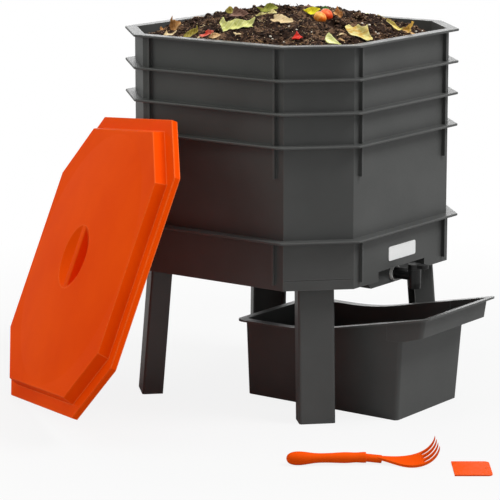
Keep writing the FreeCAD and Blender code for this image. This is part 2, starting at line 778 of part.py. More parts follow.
def lid():
    """The shallow lid with its raised plateau, crown, finger bowl and grip bar."""
    body = new_body("lid")
    wall = dim.lid_wall
    top = dim.plateau_height
    pad(body, "flange", octagon(body, "flange_outline", -dim.lid_skirt, LID_HALF, LID_CUT), dim.lid_skirt)
    round_edges(body, "flange_corners", dim.corner_round, lambda edge: (
        stands_between(edge, -dim.lid_skirt, 0)))
    round_edges(body, "flange_edges", dim.rim_round, lambda edge: lies_at(edge, 0))
    sketch = octagon(body, "plateau_outline", 0, PLATEAU_HALF, PLATEAU_CUT)
    pad(body, "plateau", sketch, top, TaperAngle=-dim.plateau_taper)
    round_edges(body, "plateau_edges", dim.rim_round, lambda edge: lies_at(edge, top))
    crown = CROWN_RADIUS
    peak = top + dim.crown_rise
    dome = [(0, top - wall / 2), (crown, top - wall / 2), (crown, top), (0, peak)]
    body.Tip = turned("Revolution", body, "crown",
                      outline(body, "crown_outline", "XZ_Plane", 0, dome, {2: crown_middle(crown, top)}))
    under = octagon(body, "flange_room_outline", -dim.lid_skirt, LID_HALF - wall, LID_CUT)
    pocket(body, "flange_room", under, dim.lid_skirt - wall, Reversed=True)
    under = octagon(body, "plateau_room_outline", -wall, PLATEAU_HALF - 2 * wall, PLATEAU_CUT)
    pocket(body, "plateau_room", under, top, Reversed=True, TaperAngle=-dim.plateau_taper)
    under = top - wall
    room = [(0, under - OVERCUT), (crown - wall, under - OVERCUT), (crown - wall, under), (0, peak - wall)]
    sketch = outline(body, "crown_room_outline", "XZ_Plane", 0, room, {2: crown_middle(crown - wall, under)})
    body.Tip = turned("Groove", body, "crown_room", sketch)
    bowl(body, peak)
    return body


def crown_middle(radius, edge_height):
    """A point half way along the crown's arc, which is level at the middle of the lid."""
    rise = dim.crown_rise
    ball = (radius * radius + rise * rise) / (2 * rise)
    half_angle = math.atan2(float(radius), float(ball - rise)) / 2
    return ball * math.sin(half_angle), edge_height + rise - ball * (1 - math.cos(half_angle))


def bowl(body, peak):
    """The round finger bowl in the middle of the crown, with a grip bar across it."""
    wall = dim.lid_wall
    radius = dim.bowl_radius
    floor = peak - dim.bowl_depth
    shell_top = peak - wall / 2
    shell = [(0, floor - wall), (radius + wall, shell_top), (0, shell_top)]
    middle = bowl_middle(radius + wall, floor - wall, shell_top)
    sketch = outline(body, "bowl_shell_outline", "XZ_Plane", 0, shell, {0: middle})
    body.Tip = turned("Revolution", body, "bowl_shell", sketch)
    mouth = peak + OVERCUT
    hollow = [(0, floor), (radius, mouth), (0, mouth)]
    middle = bowl_middle(radius, floor, mouth)
    sketch = outline(body, "bowl_outline", "XZ_Plane", 0, hollow, {0: middle})
    body.Tip = turned("Groove", body, "bowl", sketch)
    reach = radius - OVERCUT
    corners = box_corners(-dim.grip_half, dim.grip_half, -reach, reach)
    grip_top = peak - dim.grip_drop
    foot = floor - wall / 2
    pad(body, "grip", outline(body, "grip_outline", "XY_Plane", foot, corners), grip_top - foot)
    round_edges(body, "grip_edges", dim.grip_half / 3, lambda edge: (
        lies_at(edge, grip_top) and abs(abs(edge.CenterOfMass.x) - float(dim.grip_half)) < 0.01))


def bowl_middle(radius, low, high):
    """A point on the bowl's arc, which is level at the bottom."""
    depth = high - low
    ball = (radius * radius + depth * depth) / (2 * depth)
    half_angle = math.atan2(float(radius), float(ball - depth)) / 2
    return ball * math.sin(half_angle), low + ball * (1 - math.cos(half_angle))


def lean_lid(body, rest):
    """Lean the lid on the rim of the deep tray, with its lowest corner on the floor."""
    across = Rotation(Vector(0, -1, 0), Vector(0, 0, 1), Vector(-1, 0, 0), "ZXY")
    turn = Rotation(Vector(0, 0, 1), dim.lid_turn.number)
    lean = Rotation(Vector(1, 0, 0), dim.lid_lean.number)
    twist = Rotation(Vector(0, 0, 1), dim.lid_twist.number)
    rotation = turn * across * lean * twist
    away = rotation.multVec(Vector(0, 0, 1))
    level = math.hypot(away.x, away.y)
    away = Vector(away.x / level, away.y / level, 0)
    place = Vector(dim.lid_place_x.number, dim.lid_place_y.number, 0)
    body.Placement = Placement(Vector(), rotation)
    doc.recompute()
    resting = body.Shape
    place.z = -resting.optimalBoundingBox(True, False).ZMin
    place += away * dim.rim_overhang.number * 2
    for _ in range(9):
        moved = resting.copy()
        moved.translate(place)
        place -= away * (moved.distToShape(rest.Shape)[0] - dim.lid_gap.number)
    body.Placement = Placement(place, rotation)


# Catch bin

def bin_wall_x(height):
    """Half width of the bin's outside at a height."""
    return dim.bin_half_bottom + dim.bin_side_lean * height / BIN_HIGH_RIM


def bin_front(height):
    """Distance from the tower's axis to the outside of the bin's front wall at a height."""
    return dim.bin_front_bottom + dim.bin_front_lean * height / BIN_HIGH_RIM


def bin_rear(height):
    """Distance behind the tower's axis to the outside of the bin's rear wall at a height."""
    return dim.bin_rear_bottom + dim.bin_rear_lean * height / BIN_HIGH_RIM


def bin_box(body, name, bottom, inset, kind):
    """The bin's tapering box as a loft between two rectangles, drawn in by an inset."""
    sketches = []
    for level, height in (("low", bottom), ("high", BIN_HIGH_RIM)):
        half = bin_wall_x(height) - inset
        front = inset - bin_front(height)
        corners, bends = rounded_box(-half, half, front, bin_rear(height) - inset, dim.bin_round - inset)
        sketches.append(outline(body, f"{name}_{level}", "XY_Plane", height, corners, bends))
    loft = body.newObject(f"PartDesign::{kind}Loft", name)
    loft.Profile = sketches[0]
    loft.Sections = [sketches[1]]
    loft.Ruled = True
    body.Tip = loft
    return loft


def bin_rim_line(drop, front, rear):
    """Points of the rim's side line from front to rear, and the bend that rounds its kink."""
    slope = dim.bin_rim_rise / (BIN_FLANGE_FRONT - dim.bin_kink)
    low = dim.bin_low_rim - drop
    blend = dim.bin_kink_blend
    points = [
        (-front, low + slope * (front - dim.bin_kink)),
        (-(dim.bin_kink + blend), low + slope * blend),
        (-(dim.bin_kink - blend), low),
        (rear, low),
    ]
    middle = (-dim.bin_kink, low + slope * blend / 4)
    return points, middle


def nose_side(inset, lift):
    """Side outline of the nose, drawn in by an inset and with its ledge lifted."""
    root = dim.bin_front_bottom - dim.bin_nose_lap
    low = dim.bin_nose_root + lift
    return [
        (-root, low), (-bin_front(dim.bin_nose_root), low), (inset - BIN_NOSE_LOW, low + dim.bin_ledge_rise),
        (inset - BIN_NOSE_HIGH, BIN_HIGH_RIM), (-root, BIN_HIGH_RIM),
    ]


def catch_bin():
    """The deep bin that stands under the tap, with a pouring nose and a rim that rises to it."""
    body = new_body("catch_bin")
    wall = dim.bin_wall
    bin_box(body, "box", as_size(0), as_size(0), "Additive")
    side = outline(body, "nose_outline", "YZ_Plane", -BIN_NOSE_HALF, nose_side(as_size(0), as_size(0)))
    pad(body, "nose", side, 2 * BIN_NOSE_HALF)
    round_edges(body, "nose_corners", dim.bin_round, nose_corner)
    reach = BIN_FLANGE_FRONT + OVERCUT
    trim_half = BIN_FLANGE_HALF
    line, middle = bin_rim_line(dim.bin_flange_thick / 2, reach, reach)
    high = BIN_HIGH_RIM + CUT_SPARE
    line.extend(((reach, high), (-reach, high)))
    trim = outline(body, "rim_cut_outline", "YZ_Plane", trim_half, line, {1: middle})
    pocket(body, "rim_cut", trim, 2 * trim_half)
    upper, upper_middle = bin_rim_line(as_size(0), BIN_FLANGE_FRONT, BIN_FLANGE_REAR)
    lower, lower_middle = bin_rim_line(dim.bin_flange_thick, BIN_FLANGE_FRONT, BIN_FLANGE_REAR)
    band = [*upper, *reversed(lower)]
    bends = {1: upper_middle, 5: lower_middle}
    flange = outline(body, "flange_outline", "YZ_Plane", -BIN_FLANGE_HALF, band, bends)
    pad(body, "flange", flange, 2 * BIN_FLANGE_HALF)
    round_edges(body, "flange_corners", dim.bin_round * 2, flange_corner)
    bin_box(body, "room", wall, wall, "Subtractive")
    half = BIN_NOSE_HALF - wall
    inner = outline(body, "nose_room_outline", "YZ_Plane", half, nose_side(wall, wall))
    pocket(body, "nose_room", inner, 2 * half)
    return body


def nose_corner(edge):
    """Whether an edge is one of the two upright front corners of the nose."""
    middle = edge.CenterOfMass
    at_side = abs(abs(middle.x) - float(BIN_NOSE_HALF)) < 0.01
    ends = sorted(vertex.Z for vertex in edge.Vertexes)
    upright = ends[1] - ends[0] > float(BIN_HIGH_RIM - dim.bin_nose_root) / 2
    return at_side and upright and middle.y < -float(BIN_NOSE_LOW)


def flange_corner(edge):
    """Whether an edge is one of the four upright corners of the bin's flange."""
    middle = edge.CenterOfMass
    at_side = abs(abs(middle.x) - float(BIN_FLANGE_HALF)) < 0.01
    front = abs(middle.y + float(BIN_FLANGE_FRONT)) < 0.01
    rear = abs(middle.y - float(BIN_FLANGE_REAR)) < 0.01
    return at_side and (front or rear) and edge.Length < 2 * float(dim.bin_flange_thick)


# Hand tools

def fork_outline():
    """Plan of the fork's head: from the neck out to four tines, with round slots between them."""
    neck = dim.fork_neck_half.number
    start = dim.fork_collar_end.number - dim.fork_thick.number
    head = dim.fork_head_start.number
    half = dim.fork_head_half.number
    root = dim.fork_tine_root.number
    tip = dim.fork_length.number
    edge = Part.BSplineCurve()
    shoulder = [
        Vector(start, neck, 0), Vector(head, neck, 0), Vector((head * 2 + root) / 3, half * 0.5, 0),
        Vector((head + root * 2) / 3, half * 0.82, 0), Vector(root, half * 0.96, 0), Vector(tip, half, 0),
    ]
    edge.interpolate(shoulder)
    left = edge.toShape()
    right = left.mirror(Vector(), Vector(0, 1, 0))
    rear = Part.makeLine(Vector(start, -neck, 0), Vector(start, neck, 0))
    front = Part.makeLine(Vector(tip, half, 0), Vector(tip, -half, 0))
    face = Part.Face(Part.Wire(Part.__sortEdges__([rear, left, front, right])))
    deep = 3 * dim.fork_tip_rise.number
    plate = face.extrude(Vector(0, 0, deep))
    pitch = (2 * half - dim.fork_tine_width.number) / 3
    slot = (pitch - dim.fork_tine_width.number) / 2
    for place in (-pitch, 0, pitch):
        round_end = Part.makeCylinder(slot, deep, Vector(root + slot, place, 0))
        channel = Part.makeBox(tip, 2 * slot, deep, Vector(root + slot, place - slot, 0))
        plate = plate.cut(round_end.fuse(channel))
    plate.translate(Vector(0, 0, -dim.fork_tip_rise.number))
    return plate


def fork_shape():
    """The one-piece hand fork on its back: bulbous handle, neck and a head whose tines curve up."""
    bulb = dim.fork_bulb_radius.number
    grip = dim.fork_grip_radius.number
    collar = dim.fork_collar_radius.number
    end = dim.fork_collar_end.number
    axis_height = bulb
    stations = [
        (0, 0), (2, bulb * 0.55), (end * 0.13, bulb), (end * 0.34, grip * 1.04), (end * 0.5, grip * 0.95),
        (end * 0.62, grip * 1.02), (end * 0.78, grip * 1.07), (end * 0.88, grip), (end * 0.96, collar),
        (end, collar),
    ]
    profile = Part.BSplineCurve()
    profile.interpolate([Vector(x, 0, radius) for x, radius in stations])
    line = profile.toShape()
    closing = Part.makePolygon([Vector(end, 0, collar), Vector(end, 0, 0), Vector()])
    face = Part.Face(Part.Wire([line, *closing.Edges]))
    handle = face.revolve(Vector(), Vector(1, 0, 0), 360)
    handle.translate(Vector(0, 0, axis_height))
    thick = dim.fork_thick.number
    tip = dim.fork_length.number
    root = dim.fork_tine_root.number
    head = dim.fork_head_start.number
    hook = dim.fork_tip_length.number
    rise = dim.fork_tip_rise.number
    low = [
        Vector(end - thick, 0, axis_height - thick / 2), Vector(head, 0, axis_height - thick * 0.8),
        Vector((head + root) / 2, 0, thick * 0.35), Vector(root - hook, 0, thick * 0.47),
        Vector(tip - hook, 0, rise * 0.45), Vector(tip, 0, rise),
    ]
    curve = Part.BSplineCurve()
    curve.interpolate(low)
    under = curve.toShape()
    over = under.copy()
    over.translate(Vector(0, 0, thick))
    ends = [Part.makeLine(point, point + Vector(0, 0, thick)) for point in (low[0], low[-1])]
    side = Part.Face(Part.Wire(Part.__sortEdges__([under, over, *ends])))
    width = 3 * dim.fork_head_half.number
    side.translate(Vector(0, -width / 2, 0))
    slab = side.extrude(Vector(0, width, 0))
    head_solid = slab.common(fork_outline())
    neck_start = Vector(end - thick, 0, axis_height)
    neck_along = Vector(1, 0, -NECK_FALL)
    neck = Part.makeCylinder(dim.fork_neck_half.number, head - end + 2 * thick, neck_start, neck_along)
    shape = handle.fuse([neck, head_solid]).removeSplitter()
    shape.translate(Vector(0, 0, -shape.optimalBoundingBox(True, False).ZMin))
    return shape


def hand_fork():
    """The hand fork, lying on the floor in front of the bin."""
    feature = doc.addObject("Part::Feature", "hand_fork")
    feature.Label = "hand_fork"
    feature.Shape = fork_shape()
    place = Vector(dim.fork_place_x.number, dim.fork_place_y.number, 0)
    feature.Placement = Placement(place, Rotation(Vector(0, 0, 1), dim.fork_heading.number))
    return feature


def scraper():
    """The flat scraper, lying on the floor, with two round corners and a hanging hole."""
    place = Vector(dim.scraper_place_x.number, dim.scraper_place_y.number, 0)
    body = new_body("scraper", Placement(place, Rotation(Vector(0, 0, 1), dim.scraper_heading.number)))
    half = dim.scraper_height / 2
    corners = box_corners(0, dim.scraper_width, -half, half)
    pad(body, "blade", outline(body, "blade_outline", "XY_Plane", 0, corners), dim.scraper_thick)
    round_edges(body, "corners", dim.scraper_round, lambda edge: (
        stands_between(edge, 0, dim.scraper_thick) and edge.CenterOfMass.x > OVERCUT))
    hole = [(dim.scraper_width - dim.scraper_hole_inset, 0, dim.scraper_hole_radius)]
    sketch = circles(body, "hole_outline", "XY_Plane", dim.scraper_thick, hole)
    pocket(body, "hole", sketch, dim.scraper_thick)
    return body


# Compost

def compost_heap(height):
    """The compost that fills the top tray and stands in a low heap above its rim."""
    half, cut = plan(-(2 * dim.tray_wall + dim.nest_gap + dim.heap_gap))
    corner = (half - cut).number
    half = half.number
    floor = (dim.tray_floor - tray_nest(dim.tray_pitch)).number
    top = dim.tray_pitch.number + dim.heap_peak.number
    corners = [
        (half, -corner), (half, corner), (corner, half), (-corner, half),
        (-half, corner), (-half, -corner), (-corner, -half), (corner, -half),
    ]
    ring = Part.makePolygon([Vector(x, y, floor) for x, y in [*corners, corners[0]]])
    block = Part.Face(ring).extrude(Vector(0, 0, top - floor))
    drop = dim.heap_peak.number + dim.heap_edge.number
    ball_radius = (half * half + drop * drop) / (2 * drop)
    ball = Part.makeSphere(ball_radius, Vector(0, 0, top - ball_radius))
    feature = doc.addObject("Part::Feature", "compost_heap")
    feature.Label = "compost_heap"
    feature.Shape = block.common(ball)
    feature.Placement = Placement(Vector(0, 0, height.number), Rotation())
    return feature


def tray_nest(pitch):
    """How far a shallow tray reaches into the tray below it."""
    return pitch - dim.tray_floor - dim.nest_gap


# The assembly

def assembly():
    """Every sub-part, from the floor up."""
    pieces = [base_tray()]
    for name, heading in (("leg_front_left", 225), ("leg_front_right", 315),
                          ("leg_rear_right", 45), ("leg_rear_left", 135)):
        pieces.append(leg(name, heading))
    pieces.append(label_plate())
    wall_front = TROUGH_FRONT
    pieces.append(washer("tap_washer_outer", dim.washer_radius, dim.washer_thick,
                         wall_front + dim.washer_thick))
    pieces.append(washer("tap_washer_inner", dim.inner_washer_radius, dim.inner_washer_thick,
                         wall_front - dim.trough_wall))
    pieces.extend((tap_nut(), tap_body(), tap_lever()))
    rib_bottom = dim.deep_pitch - dim.tray_pitch
    lowest = tray("tray_4", dim.deep_pitch, dim.deep_nest, rib_bottom, BASE_TOP)
    pieces.append(lowest)
    height = BASE_TOP + dim.deep_pitch
    for number in (3, 2, 1):
        pieces.append(tray(f"tray_{number}", dim.tray_pitch, tray_nest(dim.tray_pitch), as_size(0), height))
        height = height + dim.tray_pitch
    pieces.append(compost_heap(height - dim.tray_pitch))
    cover = lid()
    lean_lid(cover, lowest)
    pieces.append(cover)
    pieces.extend((catch_bin(), hand_fork(), scraper()))
    return pieces


def export(pieces):
    """Check every object and write each sub-part."""
    doc.recompute()
    for item in doc.Objects:
        if "Invalid" in item.State or "Error" in item.State:
            raise RuntimeError(f"{item.Label} failed: {item.State}")
    for piece in pieces:
        if piece.Shape.isNull() or not piece.Shape.isValid():
            raise RuntimeError(f"{piece.Label} has no valid shape")
    os.makedirs("parts", exist_ok=True)
    for piece in pieces:
        piece.Shape.exportStep(f"parts/{piece.Label}.step")
        box = piece.Shape.BoundBox
        print(f"{piece.Label}: {len(piece.Shape.Solids)} solid, {piece.Shape.Volume / 1000:.1f} cm3, "
              f"x {box.XMin:.1f} to {box.XMax:.1f}, y {box.YMin:.1f} to {box.YMax:.1f}, "
              f"z {box.ZMin:.1f} to {box.ZMax:.1f}")


export(assembly())
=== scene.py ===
"""Dresses the wormery: a stacking worm composter with its lid, catch bin and hand tools.

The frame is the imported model's: the origin is on the floor under the middle of the tower,
+Z is up and the tap faces -Y. Sizes are in millimetres unless a name ends in _m.
"""
from __future__ import annotations

import json
import logging
import math
import random
from dataclasses import dataclass, field, replace
from functools import cache

import bmesh
import bpy
from mathutils import Matrix, Vector, noise
from mathutils.geometry import delaunay_2d_cdt

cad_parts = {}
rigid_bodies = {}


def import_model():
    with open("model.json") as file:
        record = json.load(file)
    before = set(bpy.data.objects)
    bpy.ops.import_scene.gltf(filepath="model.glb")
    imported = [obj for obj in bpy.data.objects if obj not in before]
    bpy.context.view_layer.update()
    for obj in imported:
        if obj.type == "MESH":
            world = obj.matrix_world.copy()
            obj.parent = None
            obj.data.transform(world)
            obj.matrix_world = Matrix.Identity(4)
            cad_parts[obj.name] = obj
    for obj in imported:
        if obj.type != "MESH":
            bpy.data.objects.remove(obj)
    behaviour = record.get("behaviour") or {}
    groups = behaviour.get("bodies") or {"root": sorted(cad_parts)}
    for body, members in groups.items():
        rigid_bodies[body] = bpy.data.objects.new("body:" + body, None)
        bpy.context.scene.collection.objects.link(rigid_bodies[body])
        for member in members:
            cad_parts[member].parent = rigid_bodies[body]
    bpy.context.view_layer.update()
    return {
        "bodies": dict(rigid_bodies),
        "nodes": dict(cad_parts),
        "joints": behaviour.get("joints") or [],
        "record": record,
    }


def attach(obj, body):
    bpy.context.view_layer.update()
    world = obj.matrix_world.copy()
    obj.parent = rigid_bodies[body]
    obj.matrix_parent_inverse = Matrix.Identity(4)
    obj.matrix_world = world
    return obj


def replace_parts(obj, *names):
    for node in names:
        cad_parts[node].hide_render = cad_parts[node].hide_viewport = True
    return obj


log = logging.getLogger("wormery")

MM = 0.001
NOISE_SEED = 11             # without it Blender's vector noise starts from the clock
WHITE = "#FFFFFF"

# Sockets of the Mix node when it mixes colours
MIX_FACTOR = 0
MIX_FIRST = 6
MIX_SECOND = 7
MIX_RESULT = 2

# What the triangulation keeps, and how near it merges points
INSIDE_ONLY = 1
MERGE_MM = 0.05

Point = tuple[float, float]
Triple = tuple[float, float, float]
Inputs = dict[str | int, object]
Tree = bpy.types.NodeTree
Socket = bpy.types.NodeSocket
Mesh = bpy.types.Mesh


def linear(colour: str) -> tuple[float, float, float, float]:
    """Turn an sRGB hex colour into the linear values that the shaders take.

    Args:
        colour: Six hex digits after a hash sign.

    Returns:
        Red, green, blue and full alpha.
    """
    channels = [int(colour[start:start + 2], 16) / 255 for start in (1, 3, 5)]
    # The standard's curve: a straight foot, and a power above it
    red, green, blue = [
        value / 12.92 if value <= 0.04045 else ((value + 0.055) / 1.055) ** 2.4 for value in channels
    ]
    return red, green, blue, 1.0


def per_metre(millimetres: float) -> float:
    """Return the texture scale at which one feature has this size."""
    return 1000 / millimetres


def add_node(tree: Tree, kind: str, inputs: Inputs | None = None, **settings: object) -> bpy.types.Node:
    """Add a shader node with its settings, values and links.

    Args:
        tree: The tree that it goes into.
        kind: The node's type name.
        inputs: Values or sockets to link, by the name or number of the input.
        **settings: Properties of the node.

    Returns:
        The new node.
    """
    node = tree.nodes.new(kind)
    for name, value in settings.items():
        setattr(node, name, value)
    for name, value in (inputs or {}).items():
        if isinstance(value, bpy.types.NodeSocket):
            tree.links.new(value, node.inputs[name])
        else:
            node.inputs[name].default_value = value
    return node


def empty_material(name: str) -> tuple[bpy.types.Material, Tree]:
    """Make a material with an empty node tree.

    Args:
        name: The real material's name.

    Returns:
        The material and its tree.
    """
    material = bpy.data.materials.new(name)
    material.use_nodes = True
    material.node_tree.nodes.clear()
    return material, material.node_tree


def close_material(tree: Tree, shader: Socket) -> None:
    """Link a shader to the material's surface."""
    add_node(tree, "ShaderNodeOutputMaterial", {"Surface": shader})


def patchwork(tree: Tree, pattern: Inputs, limits: Point, colours: tuple[str, str]) -> Socket:
    """Change over between two colours in soft patches.

    Args:
        tree: The material's nodes.
        pattern: What the noise takes.
        limits: The noise below which the first colour is pure, and above which the second is.
        colours: The two colours.

    Returns:
        The colour.
    """
    patches = add_node(tree, "ShaderNodeTexNoise", pattern)
    share = add_node(tree, "ShaderNodeMapRange", {
        "Value": patches.outputs["Fac"], "From Min": limits[0], "From Max": limits[1]})
    mixed = add_node(tree, "ShaderNodeMix", {
        MIX_FACTOR: share.outputs["Result"], MIX_FIRST: linear(colours[0]),
        MIX_SECOND: linear(colours[1])}, data_type="RGBA")
    return mixed.outputs[MIX_RESULT]


class Finish:
    """What a piece is made of, drawn by the nodes of one material."""

    name: str

    def surface(self, tree: Tree, place: Socket) -> Socket:
        """Add the finish's own nodes and return its shader."""
        raise NotImplementedError

    def material(self) -> bpy.types.Material:
        """Build the material.

        Returns:
            The material, named for the real one.
        """
        material, tree = empty_material(self.name)
        place = add_node(tree, "ShaderNodeTexCoord").outputs["Object"]
        close_material(tree, self.surface(tree, place))
        return material


@cache
def made(finish: Finish) -> bpy.types.Material:
    """Return the material of a finish, which is built only once."""
    return finish.material()


@dataclass(frozen=True)
class MouldedPlastic(Finish):
    """Injection-moulded polypropylene with a fine spark-eroded grain.

    Polypropylene has a refractive index near 1.49. The eye sees a satin surface whose
    colour drifts slowly along the flow of the melt, with a painted highlight along its edges.
    """

    name: str
    colour: str
    drift_colour: str
    # painted highlight: the paler colour that stands in for light caught by rounded edges
    edge_highlight_colour: str
    roughness: float
    drift_mm: float = 90.0
    grain_mm: float = 1.6       # the real grain is about 0.3 mm, drawn coarser so that it shows
    grain_depth_mm: float = 0.05
    edge_mm: float = 1.6
    specular: float = 0.4

    def surface(self, tree: Tree, place: Socket) -> Socket:
        """Draw the plastic.

        Args:
            tree: The material's nodes.
            place: A point's place in its piece's own frame.

        Returns:
            The shader.
        """
        body = patchwork(tree, {
            "Vector": place, "Scale": per_metre(self.drift_mm), "Detail": 3.0, "Roughness": 0.55},
            (0.35, 0.65), (self.colour, self.drift_colour))
        grain = add_node(tree, "ShaderNodeTexNoise", {
            "Vector": place, "Scale": per_metre(self.grain_mm), "Detail": 2.0, "Roughness": 0.6})
        # The edge colour is a painted highlight, mixed in where the edges are
        colour = add_node(tree, "ShaderNodeMix", {
            MIX_FACTOR: self.edge_highlight_mask(tree), MIX_FIRST: body,
            MIX_SECOND: linear(self.edge_highlight_colour)}, data_type="RGBA")
        gloss = add_node(tree, "ShaderNodeMapRange", {
            "Value": grain.outputs["Fac"], "From Min": 0.3, "From Max": 0.7,
            "To Min": self.roughness - 0.05, "To Max": self.roughness + 0.07})
        relief = add_node(tree, "ShaderNodeBump", {
            "Height": grain.outputs["Fac"], "Strength": 0.5, "Distance": self.grain_depth_mm * MM})
        shader = add_node(tree, "ShaderNodeBsdfPrincipled", {
            "Base Color": colour.outputs[MIX_RESULT], "Roughness": gloss.outputs["Result"],
            "Normal": relief.outputs["Normal"], "IOR": 1.49, "Specular IOR Level": self.specular})
        return shader.outputs["BSDF"]

    def edge_highlight_mask(self, tree: Tree) -> Socket:
        """Find the edges for the painted highlight, where a rounded normal departs from the face's own.

        Args:
            tree: The material's nodes.

        Returns:
            A factor that is 0 on faces and rises at edges: the share of painted highlight.
        """
        rounded = add_node(tree, "ShaderNodeBevel", {"Radius": self.edge_mm * MM}, samples=4)
        plain = add_node(tree, "ShaderNodeNewGeometry")
        agreement = add_node(tree, "ShaderNodeVectorMath", {
            0: rounded.outputs["Normal"], 1: plain.outputs["Normal"]}, operation="DOT_PRODUCT")
        mask = add_node(tree, "ShaderNodeMapRange", {
            "Value": agreement.outputs["Value"], "From Min": 0.99, "From Max": 0.8,
            "To Min": 0.0, "To Max": 0.6})
        return mask.outputs["Result"]


@dataclass(frozen=True)
class PatchySkin(Finish):
    """A skin without relief, such as dusty rubber, whose colour changes over in soft patches."""

    name: str
    colour: str
    patch_colour: str
    patch_mm: float = 5.0
    patch_detail: float = 3.0
    limits: Point = (0.0, 1.0)
    roughness: float = 0.6
    ior: float = 1.41
    specular: float = 0.5

    def surface(self, tree: Tree, place: Socket) -> Socket:
        """Draw the skin.

        Args:
            tree: The material's nodes.
            place: A point's place in its piece's own frame.

        Returns:
            The shader.
        """
        colour = patchwork(tree, {
            "Vector": place, "Scale": per_metre(self.patch_mm), "Detail": self.patch_detail},
            self.limits, (self.colour, self.patch_colour))
        shader = add_node(tree, "ShaderNodeBsdfPrincipled", {
            "Base Color": colour, "Roughness": self.roughness, "IOR": self.ior,
            "Specular IOR Level": self.specular})
        return shader.outputs["BSDF"]


@dataclass(frozen=True)
class FruitSkin(PatchySkin):
    """Ripe tomato or pepper: a smooth waxy gloss over a colour that ripens unevenly."""

    patch_mm: float = 9.0
    patch_detail: float = 2.0
    limits: Point = (0.4, 0.62)
    roughness: float = 0.3
    ior: float = 1.4
    specular: float = 0.32


@dataclass(frozen=True)
class Soil(Finish):
    """Moist compost: dark crumbs of humus, drier ones on top, and pale grit between them."""

    name: str = "moist_compost"
    dark: str = "#0A0504"
    middle: str = "#33231A"
    dry: str = "#775C47"
    speck: str = "#C4AE8E"
    crumb_mm: float = 4.2
    patch_mm: float = 22.0
    grit_mm: float = 2.4
    grit_radius: float = 0.34   # of a grain, as a share of the room that it has
    grit_share: float = 0.06    # of the rooms that hold a grain
    relief_mm: float = 2.0

    def surface(self, tree: Tree, place: Socket) -> Socket:
        """Draw the compost.

        Args:
            tree: The material's nodes.
            place: A point's place in its piece's own frame.

        Returns:
            The shader.
        """
        crumbs = add_node(tree, "ShaderNodeTexNoise", {
            "Vector": place, "Scale": per_metre(self.crumb_mm), "Detail": 4.0, "Roughness": 0.6})
        patches = add_node(tree, "ShaderNodeTexNoise", {
            "Vector": place, "Scale": per_metre(self.patch_mm), "Detail": 2.0})
        humus = add_node(tree, "ShaderNodeMapRange", {
            "Value": crumbs.outputs["Fac"], "From Min": 0.38, "From Max": 0.54})
        colour = add_node(tree, "ShaderNodeMix", {
            MIX_FACTOR: humus.outputs["Result"], MIX_FIRST: linear(self.dark),
            MIX_SECOND: linear(self.middle)}, data_type="RGBA")
        both = add_node(tree, "ShaderNodeMath", {
            0: crumbs.outputs["Fac"], 1: patches.outputs["Fac"]}, operation="ADD")
        drying = add_node(tree, "ShaderNodeMapRange", {
            "Value": both.outputs["Value"], "From Min": 1.03, "From Max": 1.18, "To Max": 0.9})
        dried = add_node(tree, "ShaderNodeMix", {
            MIX_FACTOR: drying.outputs["Result"], MIX_FIRST: colour.outputs[MIX_RESULT],
            MIX_SECOND: linear(self.dry)}, data_type="RGBA")
        gritty = add_node(tree, "ShaderNodeMix", {
            MIX_FACTOR: self.grit_mask(tree, place), MIX_FIRST: dried.outputs[MIX_RESULT],
            MIX_SECOND: linear(self.speck)}, data_type="RGBA")
        relief = add_node(tree, "ShaderNodeBump", {
            "Height": crumbs.outputs["Fac"], "Strength": 1.0, "Distance": self.relief_mm * MM})
        shader = add_node(tree, "ShaderNodeBsdfPrincipled", {
            "Base Color": gritty.outputs[MIX_RESULT], "Roughness": 0.9,
            "Normal": relief.outputs["Normal"], "Specular IOR Level": 0.12})
        return shader.outputs["BSDF"]

    def grit_mask(self, tree: Tree, place: Socket) -> Socket:
        """Find the few pale grains.

        Args:
            tree: The material's nodes.
            place: A point's place in its piece's own frame.

        Returns:
            A factor that is 1 on a grain and 0 elsewhere.
        """
        grit = add_node(tree, "ShaderNodeTexVoronoi", {"Vector": place, "Scale": per_metre(self.grit_mm)})
        near = add_node(tree, "ShaderNodeMath", {
            0: grit.outputs["Distance"], 1: self.grit_radius}, operation="LESS_THAN")
        chosen = add_node(tree, "ShaderNodeSeparateXYZ", {"Vector": grit.outputs["Color"]})
        few = add_node(tree, "ShaderNodeMath", {
            0: chosen.outputs["X"], 1: self.grit_share}, operation="LESS_THAN")
        speck = add_node(tree, "ShaderNodeMath", {
            0: near.outputs["Value"], 1: few.outputs["Value"]}, operation="MULTIPLY")
        return speck.outputs["Value"]


